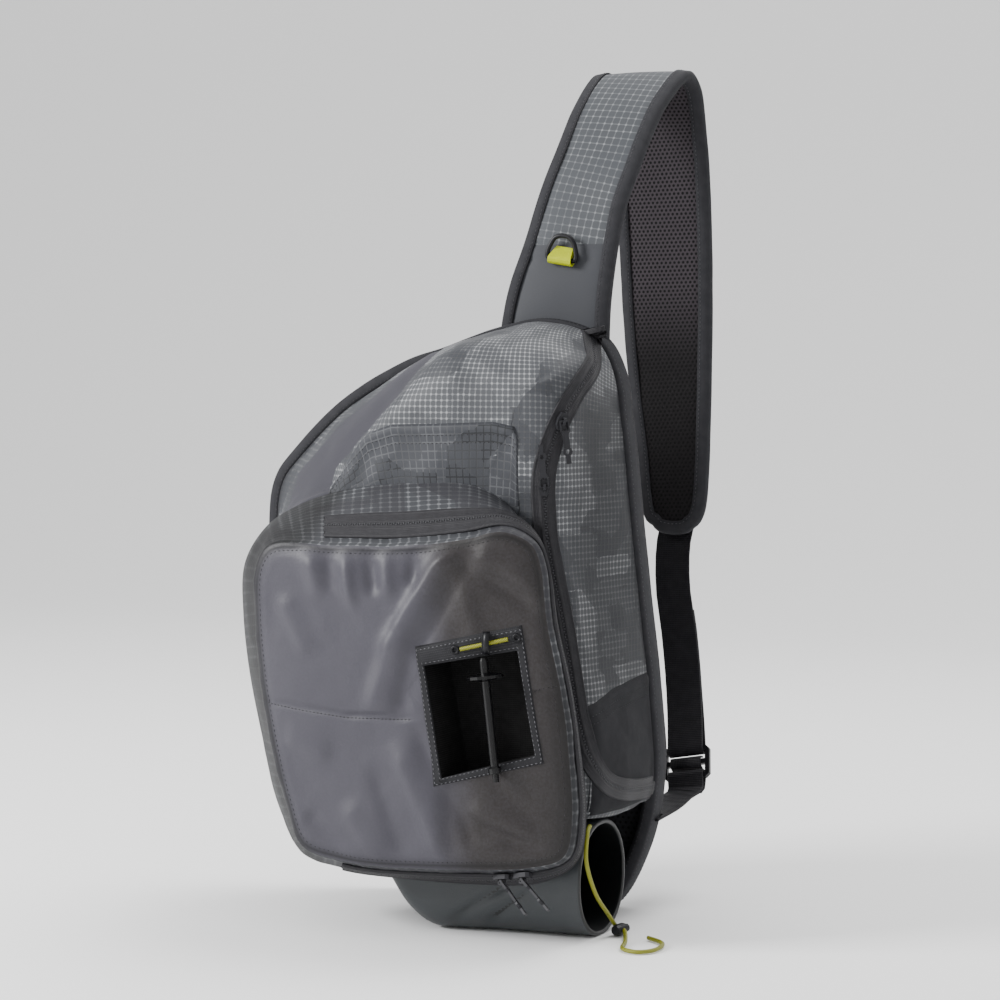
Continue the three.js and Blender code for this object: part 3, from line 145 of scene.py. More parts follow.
# Stations round the case: back, front and panel outlines as shares of its size, and the edge's radius
BODY_TABLE = Table(
    ("bx", "bz", "fx", "fz", "px", "pz", "r"),
    (
        (-0.025, 0.9932, 0.006, 0.972, -0.025, 0.9932, 46.0),
        (-0.151, 0.9755, -0.095, 0.965, -0.151, 0.9755, 44.0),
        (-0.279, 0.9437, -0.15, 0.945, -0.279, 0.9437, 34.0),
        (-0.383, 0.9189, -0.2, 0.905, -0.383, 0.9189, 22.0),
        (-0.538, 0.8546, -0.266, 0.856, -0.538, 0.8546, 14.0),
        (-0.671, 0.7636, -0.337, 0.799, -0.671, 0.7636, 12.0),
        (-0.719, 0.7134, -0.402, 0.722, -0.719, 0.7134, 12.0),
        (-0.733, 0.6446, -0.49, 0.684, -0.733, 0.6446, 12.0),
        (-0.727, 0.5509, -0.595, 0.612, -0.727, 0.5408, 14.0),
        (-0.691, 0.432, -0.61, 0.49, -0.691, 0.4169, 14.0),
        (-0.632, 0.323, -0.58, 0.365, -0.624, 0.291, 14.0),
        (-0.559, 0.2303, -0.52, 0.25, -0.523, 0.1637, 12.0),
        (-0.446, 0.19, -0.43, 0.19, -0.414, 0.052, 8.0),
        (-0.24, 0.1885, -0.24, 0.1885, -0.29, 0.0, 8.0),
        (0.0, 0.1885, 0.0, 0.1885, -0.05, 0.0, 8.0),
        (0.164, 0.1885, 0.165, 0.1885, 0.12, 0.0, 8.0),
        (0.241, 0.197, 0.232, 0.202, 0.214, 0.11, 10.0),
        (0.249, 0.265, 0.242, 0.285, 0.249, 0.2402, 14.0),
        (0.236, 0.3894, 0.222, 0.38, 0.236, 0.3894, 16.0),
        (0.218, 0.5042, 0.19, 0.493, 0.218, 0.5042, 16.0),
        (0.2, 0.6183, 0.156, 0.619, 0.2, 0.6183, 16.0),
        (0.187, 0.7103, 0.148, 0.734, 0.187, 0.7103, 18.0),
        (0.171, 0.819, 0.165, 0.84, 0.171, 0.819, 26.0),
        (0.149, 0.9124, 0.18, 0.915, 0.149, 0.9124, 38.0),
        (0.095, 0.9692, 0.12, 0.955, 0.095, 0.9692, 46.0),
    ),
)
# Stations round the pocket: back and front outlines as shares of the case, share of depth, edge radius
POCKET_TABLE = Table(
    ("bx", "bz", "fx", "fz", "d", "r"),
    (
        (-0.215, 0.729, -0.132, 0.638, 0.97, 7.0),
        (-0.368, 0.713, -0.291, 0.636, 1.0, 7.0),
        (-0.482, 0.686, -0.38, 0.638, 1.0, 7.0),
        (-0.565, 0.648, -0.455, 0.63, 1.0, 7.0),
        (-0.62, 0.585, -0.493, 0.59, 1.0, 7.0),
        (-0.624, 0.5, -0.497, 0.52, 1.0, 7.0),
        (-0.608, 0.4, -0.483, 0.415, 1.0, 7.0),
        (-0.575, 0.29, -0.455, 0.3, 1.0, 7.0),
        (-0.539, 0.187, -0.42, 0.205, 1.0, 7.0),
        (-0.474, 0.107, -0.378, 0.138, 1.0, 7.0),
        (-0.36, 0.085, -0.28, 0.117, 1.0, 7.0),
        (-0.18, 0.08, -0.17, 0.113, 1.0, 7.0),
        (0.01, 0.073, 0.03, 0.12, 0.97, 7.0),
        (0.13, 0.083, 0.16, 0.128, 0.86, 7.0),
        (0.2, 0.135, 0.235, 0.15, 0.78, 7.0),
        (0.213, 0.22, 0.253, 0.215, 0.76, 7.0),
        (0.195, 0.3, 0.246, 0.3, 0.75, 7.0),
        (0.17, 0.4, 0.228, 0.4, 0.74, 7.0),
        (0.135, 0.51, 0.194, 0.51, 0.73, 7.0),
        (0.11, 0.6, 0.18, 0.6, 0.74, 7.0),
        (0.075, 0.66, 0.155, 0.645, 0.77, 7.0),
        (0.02, 0.705, 0.09, 0.664, 0.84, 7.0),
        (-0.07, 0.73, 0.0, 0.65, 0.92, 7.0),
    ),
)
# Sections along the base sleeve: place, front, back, foot of each, top, and corner radius
SLEEVE_TABLE = Table(
    ("x", "y0", "y1", "b0", "b1", "top", "r"),
    (
        (-0.47, -0.26, 0.7, 0.95, 0.8, 0.985, 3.0),
        (-0.4, -0.3, 0.71, 0.86, 0.45, 1.0, 6.0),
        (-0.32, -0.38, 0.715, 0.72, 0.12, 1.0, 12.0),
        (-0.245, -0.44, 0.715, 0.46, 0.0, 1.0, 17.0),
        (-0.19, -0.46, 0.715, 0.17, 0.0, 1.0, 20.0),
        (-0.145, -0.46, 0.7, 0.03, 0.0, 1.0, 22.0),
        (-0.09, -0.46, 0.66, 0.0, 0.0, 1.0, 25.0),
        (0.03, -0.45, 0.55, 0.0, 0.0, 1.0, 32.0),
        (0.13, -0.45, 0.42, 0.0, 0.0, 1.0, 37.0),
        (0.222, -0.44, 0.31, 0.0, 0.0, 1.0, 39.5),
    ),
    closed=False,
)
# Points along the strap, as shares of its width, reach and rise, and its share of full width
STRAP_TABLE = Table(
    ("x", "y", "z", "w"),
    (
        (-0.06, 0.0, -0.1, 1.15), (-0.02, 0.012, 0.06, 1.09), (0.09, 0.05, 0.28, 0.97),
        (0.16, 0.12, 0.46, 0.93), (0.26, 0.23, 0.64, 0.93), (0.33, 0.42, 0.83, 0.95),
        (0.4, 0.66, 0.965, 1.0), (0.42, 0.84, 0.93, 1.0), (0.41, 0.95, 0.77, 1.0),
        (0.43, 1.0, 0.5, 1.0), (0.45, 1.03, 0.12, 0.97), (0.48, 1.03, -0.19, 0.9),
        (0.54, 1.01, -0.54, 0.77), (0.57, 0.98, -0.74, 0.69), (0.58, 0.965, -0.82, 0.58),
        (0.58, 0.96, -0.85, 0.4),
    ),
    closed=False,
)
# Points along the main zip, as shares of the case
ZIP_TABLE = Table(
    ("x", "y", "z"),
    (
        (0.115, 0.86, 0.968), (0.126, 0.74, 0.961), (0.147, 0.5, 0.924), (0.156, 0.23, 0.881),
        (0.144, 0.07, 0.826), (0.126, 0.0, 0.752), (0.126, 0.0, 0.683), (0.135, 0.0, 0.619),
        (0.172, 0.0, 0.482), (0.187, 0.0, 0.415), (0.202, 0.0, 0.351), (0.221, 0.045, 0.289),
        (0.227, 0.23, 0.247), (0.23, 0.55, 0.227), (0.245, 0.95, 0.217),
    ),
    closed=False,
)


def unit(v: Array) -> Array:
    """Scales vectors, the last axis of an array, to length 1."""
    return v / np.maximum(np.linalg.norm(v, axis=-1, keepdims=True), 1e-12)


def smooth(low: float, high: float, x: Array) -> Array:
    """A smooth step from 0 at low to 1 at high."""
    t = np.clip((x - low) / (high - low), 0, 1)
    return t * t * (3 - 2 * t)


def offset_outline(points: Array, distance: Array | float) -> Array:
    """Moves each point of a closed flat outline outwards.

    Args:
        points: The outline, n by 2.
        distance: How far, one number or one for each point.

    Returns:
        The moved outline, n by 2.
    """
    before, after = np.roll(points, 1, 0), np.roll(points, -1, 0)
    turn = np.array([[0.0, -1.0], [1.0, 0.0]])
    a, b = unit((points - before) @ turn), unit((after - points) @ turn)
    n = unit(a + b)
    stretch = np.minimum(1 / np.maximum((n * a).sum(1), 0.5), 1.6)
    return points + n * (np.asarray(distance) * stretch)[:, None]


def rough(points: Array, size: float, seed: float) -> Array:
    """Smooth noise from -1 to 1 at each point.

    Args:
        points: Points in millimetres, any shape with 3 last.
        size: Width of one lump in millimetres.
        seed: Moves to another part of the noise.

    Returns:
        A number for each point.
    """
    flat = points.reshape(-1, 3) / size + seed * 17.31
    return np.array([noise.noise(Vector(p)) for p in flat]).reshape(points.shape[:-1])


def lumpy(points: Array, rows: Rows) -> Array:
    """Adds up smooth noise from rows of width, seed and height, in millimetres."""
    return sum(rough(points, size, seed) * high for size, seed, high in rows)


def ridges(u: Array, v: Array, rows: Rows) -> Array:
    """Height of a set of straight folds over a flat place.

    Args:
        u: First coordinate in millimetres.
        v: Second coordinate in millimetres.
        rows: A row for each fold: u0, v0, u1, v1, half width, height and lean.
            Lean makes one flank steeper.

    Returns:
        The height at each place, in millimetres.
    """
    height = np.zeros_like(u)
    for u0, v0, u1, v1, wide, high, lean in rows:
        along = np.array([u1 - u0, v1 - v0])
        length = np.linalg.norm(along)
        along = along / length
        du, dv = u - u0, v - v0
        s = (du * along[0] + dv * along[1]) / length
        d = -du * along[1] + dv * along[0]
        w = wide * np.where(d > 0, 1 + lean, 1 - lean)
        fade = smooth(-0.18, 0.15, s) * (1 - smooth(0.8, 1.2, s))
        height += high * np.exp(-((d / w) ** 2)) * fade
    return height


@dataclass
class Grid:
    """Points in rows and columns, in millimetres, with the cloth's own coordinates."""

    points: Array
    wraps: bool = False
    cloth: Array | None = None
    layers: dict[Layer, Array] = field(default_factory=dict)
    turned: bool = False

    def normals(self) -> Array:
        """Finds the surface's directions.

        Returns:
            Unit normals at each point.
        """
        p = self.points
        if self.wraps:
            du = np.roll(p, -1, 1) - np.roll(p, 1, 1)
        else:
            du = np.gradient(p, axis=1)
        dv = np.gradient(p, axis=0)
        n = unit(np.cross(du, dv))
        return -n if self.turned else n

    def raised(self, height: Array | float) -> "Grid":
        """A copy moved along its normals.

        Args:
            height: How far in millimetres, one number or one for each point.

        Returns:
            The moved grid.
        """
        step = np.asarray(height)
        step = step[..., None] if step.ndim else step
        return Grid(self.points + self.normals() * step, self.wraps, self.cloth, self.layers, self.turned)

    def measured(self) -> "Grid":
        """Sets the cloth coordinates to lengths along the columns and rows.

        Returns:
            The same grid.
        """
        p = self.points
        nxt = np.concatenate([p, p[:, :1]], 1) if self.wraps else p
        along = np.linalg.norm(np.diff(nxt, axis=1), axis=2).mean(0)
        across = np.linalg.norm(np.diff(p, axis=0), axis=2).mean(1)
        u = np.concatenate([[0], np.cumsum(along)])
        v = np.concatenate([[0], np.cumsum(across)])
        self.cloth = np.stack(np.broadcast_arrays(u[None, :], v[:, None], 0.0), -1)
        return self

    def face_out(self, row: int, col: int, out: Array) -> None:
        """Turns the grid so that its normal at one point agrees with a direction."""
        self.turned = bool(self.normals()[row, col] @ out < 0)

    def spread(self) -> "Grid":
        """Sets the cloth coordinates to X and Z, as for cloth that lies flat.

        Returns:
            The same grid.
        """
        p = np.concatenate([self.points, self.points[:, :1]], 1) if self.wraps else self.points
        self.cloth = p[..., [0, 2, 1]]
        return self


@dataclass
class Surface:
    """A mesh in the making: points, faces, and a cloth coordinate for each face corner."""

    points: list[Array] = field(default_factory=list)
    faces: list[tuple[int, ...]] = field(default_factory=list)
    corners: list[Array] = field(default_factory=list)
    slots: list[int] = field(default_factory=list)
    values: dict[Layer, list[Array]] = field(default_factory=dict)
    count: int = 0

    def add_points(self, points: Array, layers: dict[Layer, Array]) -> int:
        """Adds points with their layer values.

        Args:
            points: Points in millimetres, n by 3.
            layers: Values for each point.

        Returns:
            The index of the first one.
        """
        first = self.count
        self.points.append(points)
        for layer in (Layer.ZONE, Layer.SHADE):
            value = layers.get(layer, np.zeros(len(points)))
            self.values.setdefault(layer, []).append(np.asarray(value, float).reshape(-1))
        self.count += len(points)
        return first

    def add_grid(
        self,
        grid: Grid,
        slot: int = 0,
        keep: Callable[[Array], Array] | None = None,
        cap_start: bool = False,
        cap_end: bool = False,
        slot_of: Callable[[Array], Array] | None = None,
    ) -> "Surface":
        """Adds a grid's faces.

        Args:
            grid: The grid.
            slot: Index of the finish.
            keep: Says for the middles of the faces which stay.
            cap_start: Closes the first row with a fan.
            cap_end: Closes the last row with a fan.
            slot_of: Gives the finish's index from the faces' row and column shares.

        Returns:
            This surface.
        """
        rows, cols = grid.points.shape[:2]
        if grid.cloth is None:
            grid.measured()
        first = self.add_points(
            grid.points.reshape(-1, 3), {k: v.reshape(-1) for k, v in grid.layers.items()}
        )
        span = cols if grid.wraps else cols - 1
        r, c = np.meshgrid(np.arange(rows - 1), np.arange(span), indexing="ij")
        n = (c + 1) % cols
        quads = np.stack([r * cols + c, r * cols + n, (r + 1) * cols + n, (r + 1) * cols + c], -1)
        cloth = grid.cloth
        corner = np.stack([cloth[r, c], cloth[r, c + 1], cloth[r + 1, c + 1], cloth[r + 1, c]], -2)
        quads, corner = quads.reshape(-1, 4), corner.reshape(-1, 4, 3)
        shares = np.stack([(r + 0.5) / (rows - 1), (c + 0.5) / span], -1).reshape(-1, 2)
        flat = grid.points.reshape(-1, 3)
        if keep is not None:
            chosen = keep(flat[quads].mean(1))
            quads, corner, shares = quads[chosen], corner[chosen], shares[chosen]
        slots = slot_of(shares) if slot_of else np.full(len(quads), slot)
        if grid.turned:
            quads, corner = quads[:, ::-1], corner[:, ::-1]
        self.faces.extend(map(tuple, (quads + first).tolist()))
        self.corners.append(corner.reshape(-1, 3))
        self.slots.extend(int(s) for s in slots)
        for wanted, row, flip in ((cap_start, 0, True), (cap_end, rows - 1, False)):
            if wanted:
                self._add_fan(grid, first, row, flip != grid.turned, slot)
        return self

    def _add_fan(self, grid: Grid, first: int, row: int, flip: bool, slot: int) -> None:
        """Closes a grid's row with triangles to its middle.

        Args:
            grid: The grid, whose points are in the surface already.
            first: The index of its first point.
            row: The row.
            flip: Whether the triangles face against the row's order.
            slot: Index of the finish.
        """
        cols = grid.points.shape[1]
        layers = {k: v[row].mean(keepdims=True) for k, v in grid.layers.items()}
        middle = self.add_points(grid.points[row].mean(0)[None], layers)
        cloth = grid.points[row][:, [0, 2, 1]]
        for near in range(cols):
            pair = (near, (near + 1) % cols)
            pair = pair[::-1] if flip else pair
            self.faces.append((*(first + row * cols + k for k in pair), middle))
            self.corners.append(np.array([*cloth[list(pair)], cloth.mean(0)]))
            self.slots.append(slot)

    @classmethod
    def closed(cls, grid: Grid) -> "Surface":
        """A surface of one grid with both its ends closed."""
        return cls().add_grid(grid, cap_start=True, cap_end=True)

    def build(
        self, name: str, finishes: Sequence["Finish"], slot: str, replaced: str = "", body: str = BAG
    ) -> bpy.types.Object:
        """Makes the object and puts it on a body.

        Args:
            name: The piece's name.
            finishes: The finishes, in the order of the faces' indices.
            slot: The record's slot. Not used.
            replaced: The frame's node that it stands for, if any.
            body: The body that it moves with.

        Returns:
            The new object.
        """
        mesh = bpy.data.meshes.new(name)
        points = np.concatenate(self.points) * MM
        mesh.from_pydata(points.tolist(), [], self.faces)
        corner = mesh.attributes.new(Layer.CLOTH.value, "FLOAT_VECTOR", "CORNER")
        corner.data.foreach_set("vector", np.concatenate(self.corners).astype(np.float32).ravel())
        for layer, parts in self.values.items():
            attribute = mesh.attributes.new(layer.value, "FLOAT", "POINT")
            attribute.data.foreach_set("value", np.concatenate(parts).astype(np.float32))
        for finish in finishes:
            mesh.materials.append(finish.material())
        mesh.polygons.foreach_set("material_index", self.slots)
        mesh.polygons.foreach_set("use_smooth", [True] * len(self.faces))
        mesh.update()
        piece = bpy.data.objects.new(name, mesh)
        bpy.context.scene.collection.objects.link(piece)
        drop_loose_points(piece)
        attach(piece, body)
        if replaced:
            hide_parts(replaced)
        LOG.info("%s: %d faces", name, len(self.faces))
        return piece

    def tree(self) -> BVHTree:
        """A search tree of the surface, in millimetres."""
        return BVHTree.FromPolygons(np.concatenate(self.points).tolist(), self.faces)


def drop_loose_points(piece: bpy.types.Object) -> None:
    """Removes the points that no face uses.

    Args:
        piece: The mesh object.
    """
    mesh = piece.data
    used = np.zeros(len(mesh.vertices), bool)
    index = np.zeros(len(mesh.loops), np.int32)
    mesh.loops.foreach_get("vertex_index", index)
    used[index] = True
    if used.all():
        return
    work = bmesh.new()
    work.from_mesh(mesh)
    bmesh.ops.delete(work, geom=[v for v in work.verts if not v.link_faces], context="VERTS")
    work.to_mesh(mesh)
    work.free()


def lay(tree: BVHTree, points: Array, towards: Sequence[float]) -> tuple[Array, Array]:
    """Finds where lines in one direction meet a surface.

    Args:
        tree: The surface.
        points: Points on the lines, any shape with 3 last.
        towards: The direction of the lines.

    Returns:
        The places met and the surface's normals there, facing against the lines.
    """
    way = Vector(towards).normalized()
    flat = points.reshape(-1, 3)
    found, normals = flat.copy(), np.tile(-np.array(way), (len(flat), 1))
    for i, p in enumerate(flat):
        hit, normal, _, _ = tree.ray_cast(Vector(p) - way * RAY_START, way)
        if hit is not None:
            found[i] = hit
            normals[i] = normal if normal.dot(way) < 0 else -normal
    return found.reshape(points.shape), normals.reshape(points.shape)


def resample(path: Array, step: float, closed: bool = False) -> Array:
    """Points in even steps along a line.

    Args:
        path: The line's points, n by 3.
        step: The step in millimetres.
        closed: Whether the line closes.

    Returns:
        The new points.
    """
    whole = np.vstack([path, path[:1]]) if closed else path
    gone = np.concatenate([[0], np.cumsum(np.linalg.norm(np.diff(whole, axis=0), axis=1))])
    count = max(int(round(gone[-1] / step)), 2)
    at = np.linspace(0, gone[-1], count + 1)
    at = at[:-1] if closed else at
    return np.stack([np.interp(at, gone, whole[:, k]) for k in range(path.shape[1])], -1)


def curve_through(points: Array, count: int) -> Array:
    """A smooth open curve through points.

    Args:
        points: The points, n by 3.
        count: How many points the curve gets.

    Returns:
        The curve's points.
    """
    table = Table(("x", "y", "z"), tuple(map(tuple, points.tolist())), closed=False)
    read = table.sample(count)
    return np.stack([read["x"], read["y"], read["z"]], -1)


def sweep(path: Array, across: Array, section: Array, closed: bool = False) -> Grid:
    """Sweeps a closed section along a path.

    Args:
        path: The path, n by 3.
        across: The direction of the section's first axis at each point.
        section: The section, m by 2: across and along the normal.
        closed: Whether the path closes.

    Returns:
        A grid whose columns go round the section.
    """
    if closed:
        tangent = unit(np.roll(path, -1, 0) - np.roll(path, 1, 0))
    else:
        tangent = unit(np.gradient(path, axis=0))
    side = unit(across - (across * tangent).sum(1, keepdims=True) * tangent)
    normal = np.cross(side, tangent)
    points = path[:, None] + side[:, None] * section[None, :, :1]
    points = points + normal[:, None] * section[None, :, 1:]
    if closed:
        points = np.concatenate([points, points[:1]])
    return Grid(points, wraps=True, turned=True)


def tube(path: Array, radius: float, sides: int = 10, closed: bool = False) -> Grid:
    """A round tube along a path.

    Args:
        path: The path, n by 3.
        radius: Its radius in millimetres.
        sides: Sides of its section.
        closed: Whether the path closes.

    Returns:
        The grid.
    """
    a = np.arange(sides) / sides * 2 * math.pi
    start = np.gradient(path, axis=0)[0]
    seed = np.cross(start, [0.3, 0.2, 1.0])
    across = np.zeros_like(path)
    tangents = unit(np.gradient(path, axis=0))
    for i, t in enumerate(tangents):
        seed = unit(seed - (seed @ t) * t)
        across[i] = seed
    return sweep(path, across, np.stack([np.cos(a), np.sin(a)], -1) * radius, closed)


def add_stitches(
    surface: Surface,
    path: Array,
    normal: Array,
    pitch: float = 3.4,
    length: float = 2.3,
    thick: float = 0.42,
) -> None:
    """Adds a row of stitches along a line.

    Args:
        surface: Where they are added.
        path: The line, n by 3.
        normal: The surface's normal at each point, n by 3.
        pitch: Distance from stitch to stitch.
        length: Length of one stitch.
        thick: Half its width.
    """
    both = resample(np.concatenate([path, normal], 1), pitch)
    spots, ups = both[:, :3], unit(both[:, 3:])
    tangent = unit(np.gradient(spots, axis=0))
    side = unit(np.cross(ups, tangent))
    for p, t, n, s in zip(spots, tangent, ups, side):
        ring = [p - s * thick, p + n * thick * STITCH_CROWN, p + s * thick, p - n * thick * STITCH_FOOT]
        tips = [p - t * length / 2 - n * STITCH_SINK, p + t * length / 2 - n * STITCH_SINK]
        first = surface.add_points(np.array(ring + tips), {})
        for k in range(4):
            j = (k + 1) % 4
            surface.faces.append((first + j, first + k, first + 4))
            surface.faces.append((first + k, first + j, first + 5))
            surface.corners.append(np.zeros((6, 3)))
            surface.slots.extend([0, 0])


def add_block(surface: Surface, at: Array, axes: Array, size: Array, slot: int = 0) -> None:
    """Adds a small block with sloping flanks, such as a zip tooth.

    Args:
        surface: Where it is added.
        at: Middle of its foot.
        axes: Its three directions, in rows.
        size: Half its length and width, and its height.
        slot: Index of the finish.
    """
    low = [(-1, -1, 0), (1, -1, 0), (1, 1, 0), (-1, 1, 0)]
    high = [(-0.6, -0.8, 1), (0.6, -0.8, 1), (0.6, 0.8, 1), (-0.6, 0.8, 1)]
    points = at + (np.array(low + high, float) * size) @ axes
    first = surface.add_points(points, {})
    flanks = [(k, (k + 1) % 4, (k + 1) % 4 + 4, k + 4) for k in range(4)]
    for quad in ((3, 2, 1, 0), (4, 5, 6, 7), *flanks):
        surface.faces.append(tuple(first + k for k in quad))
        surface.corners.append(np.zeros((4, 3)))
        surface.slots.append(slot)


class Sig:
    """A shader socket that takes part in Python sums."""

    def __init__(self, net: "Net", socket: Any) -> None:
        """Wraps one output socket of a net."""
        self.net = net
        self.socket = socket

    def _math(self, operation: str, *values: Any) -> "Sig":
        """Adds a Math node on these values."""
        made = self.net.node("ShaderNodeMath", {"operation": operation}, dict(enumerate(values)))
        return Sig(self.net, made.outputs[0])

    def __add__(self, other: Any) -> "Sig":
        """Sum."""
        return self._math("ADD", self, other)

    __radd__ = __add__

    def __sub__(self, other: Any) -> "Sig":
        """Difference."""
        return self._math("SUBTRACT", self, other)

    def __rsub__(self, other: Any) -> "Sig":
        """Reflected difference."""
        return self._math("SUBTRACT", other, self)

    def __mul__(self, other: Any) -> "Sig":
        """Product."""
        return self._math("MULTIPLY", self, other)

    __rmul__ = __mul__

    def __mod__(self, other: Any) -> "Sig":
        """Remainder, never negative."""
        return self._math("FLOORED_MODULO", self, other)

    def absolute(self) -> "Sig":
        """Size without sign."""
        return self._math("ABSOLUTE", self)

    def least(self, other: Any) -> "Sig":
        """The smaller of two values."""
        return self._math("MINIMUM", self, other)

    def most(self, other: Any) -> "Sig":
        """The larger of two values."""
        return self._math("MAXIMUM", self, other)

    def from_middle(self, pitch: float) -> "Sig":
        """Distance to the middle of the repeat that a place falls in."""
        return (self % pitch - pitch / 2).absolute()

    def step(self, low: float, high: float) -> "Sig":
        """A smooth step.

        Args:
            low: Where it is 0.
            high: Where it is 1.

        Returns:
            The step.
        """
        made = self.net.node(
            "ShaderNodeMapRange",
            {"interpolation_type": "SMOOTHSTEP", "clamp": True},
            {"Value": self, "From Min": low, "From Max": high},
        )
        return Sig(self.net, made.outputs["Result"])


class Net:
    """The node tree of one finish."""

    def __init__(self, name: str) -> None:
        """Makes the material with a bare tree.

        Args:
            name: The material's name.
        """
        self.made = bpy.data.materials.new(name)
        self.made.use_nodes = True
        self.tree = self.made.node_tree
        self.tree.nodes.clear()

    def node(self, kind: str, settings: dict[str, Any], inputs: dict[Any, Any]) -> Any:
        """Adds a node.

        Args:
            kind: The node's type.
            settings: The node's own settings, set before its sockets.
            inputs: Socket names or numbers to values or Sigs.

        Returns:
            The new node.
        """
        made = self.tree.nodes.new(kind)
        for key, value in settings.items():
            setattr(made, key, value)
        for key, value in inputs.items():
            socket = made.inputs[key]
            if isinstance(value, Sig):
                self.tree.links.new(value.socket, socket)
            elif isinstance(value, tuple) and len(value) == 3 and socket.type == "RGBA":
                socket.default_value = (*value, 1.0)
            else:
                socket.default_value = value
        return made

    def layer(self, layer: Layer, output: str = "Fac") -> Sig:
        """Reads one of a cloth's own numbers."""
        made = self.node("ShaderNodeAttribute", {"attribute_name": layer.value}, {})
        return Sig(self, made.outputs[output])

    def parts(self, vector: Sig) -> tuple[Sig, Sig, Sig]:
        """The three numbers of a vector or colour."""
        made = self.node("ShaderNodeSeparateXYZ", {}, {0: vector})
        return Sig(self, made.outputs[0]), Sig(self, made.outputs[1]), Sig(self, made.outputs[2])

    def scaled(self, vector: Sig, factor: Any) -> Sig:
        """A vector or colour times a number."""
        made = self.node("ShaderNodeVectorMath", {"operation": "SCALE"}, {0: vector, "Scale": factor})
        return Sig(self, made.outputs[0])

    def cloth(self) -> tuple[Sig, Sig, Sig]:
        """The cloth's coordinates along, across and as one vector."""
        vector = self.layer(Layer.CLOTH, "Vector")
        return (*self.parts(vector)[:2], vector)

    def place(self) -> tuple[Sig, Sig, Sig, Sig]:
        """Reads the object's own coordinates.

        Returns:
            X, Y, Z and the three as one vector, in millimetres.
        """
        raw = self.node("ShaderNodeTexCoord", {}, {})
        vector = self.scaled(Sig(self, raw.outputs["Object"]), 1 / MM)
        return (*self.parts(vector), vector)

    def lumps(self, vector: Sig, scale: float, detail: float = 2.0) -> Sig:
        """Smooth noise from 0 to 1."""
        made = self.node("ShaderNodeTexNoise", {}, {"Vector": vector, "Scale": scale, "Detail": detail})
        return Sig(self, made.outputs[0])

    def cells(self, vector: Sig, scale: float, ragged: float) -> Sig:
        """One random number from 0 to 1 for each angular patch.

        Args:
            vector: The cloth's coordinates.
            scale: Patches a millimetre.
            ragged: How far the patches' edges wander, in millimetres.

        Returns:
            The patch's number.
        """
        drift = self.node("ShaderNodeTexNoise", {}, {"Vector": vector, "Scale": 0.05, "Detail": 3.0})
        wander = self.scaled(Sig(self, drift.outputs[1]), ragged)
        moved = self.node("ShaderNodeVectorMath", {"operation": "ADD"}, {0: vector, 1: wander})
        patches = self.node(
            "ShaderNodeTexVoronoi",
            {"distance": "CHEBYCHEV"},
            {"Vector": Sig(self, moved.outputs[0]), "Scale": scale},
        )
        return self.parts(Sig(self, patches.outputs["Color"]))[0]

    def blend(self, share: Any, a: Any, b: Any) -> Sig:
        """Mixes two colours."""
        made = self.node("ShaderNodeMix", {"data_type": "RGBA"}, {0: share, 6: a, 7: b})
        return Sig(self, made.outputs[2])

    def finish(
        self,
        colour: Any,
        roughness: Any,
        height: Sig | None = None,
        strength: float = 0.5,
        depth: float = 0.3,
        **fixed: float,
    ) -> bpy.types.Material:
        """Ends the tree in one cloth or hard surface.

        Args:
            colour: Base colour.
            roughness: Roughness.
            height: Relief, from about 0 to 1.
            strength: How much the relief counts.
            depth: Millimetres of relief for a height of 1.
            fixed: Constant values of the shader's own sockets, by names with underscores.

        Returns:
            The material.
        """
        inputs: dict[Any, Any] = {"Base Color": colour, "Roughness": roughness}
        if height is not None:
            relief = {"Strength": strength, "Distance": depth * MM, "Height": height}
            inputs["Normal"] = Sig(self, self.node("ShaderNodeBump", {}, relief).outputs[0])
        inputs.update({key.replace("_", " "): value for key, value in fixed.items()})
        shader = self.node("ShaderNodeBsdfPrincipled", {}, inputs)
        out = self.node("ShaderNodeOutputMaterial", {}, {})
        self.tree.links.new(shader.outputs[0], out.inputs[0])
        return self.made


def tinted(colour: Colour, times: float, plus: float = 0.0) -> Colour:
    """A colour made lighter or darker, at most white."""
    red, green, blue = (min(c * times + plus, 1.0) for c in colour)
    return red, green, blue


@dataclass(frozen=True)
class Finish:
    """A surface of the bag."""

    name: str
    colour: Colour
    roughness: float = 0.6

    def material(self) -> bpy.types.Material:
        """The finish's material, made once."""
        return bpy.data.materials.get(self.name) or self.make()

    def make(self) -> bpy.types.Material:
        """Builds the material."""
        return Net(self.name).finish(self.colour, self.roughness)


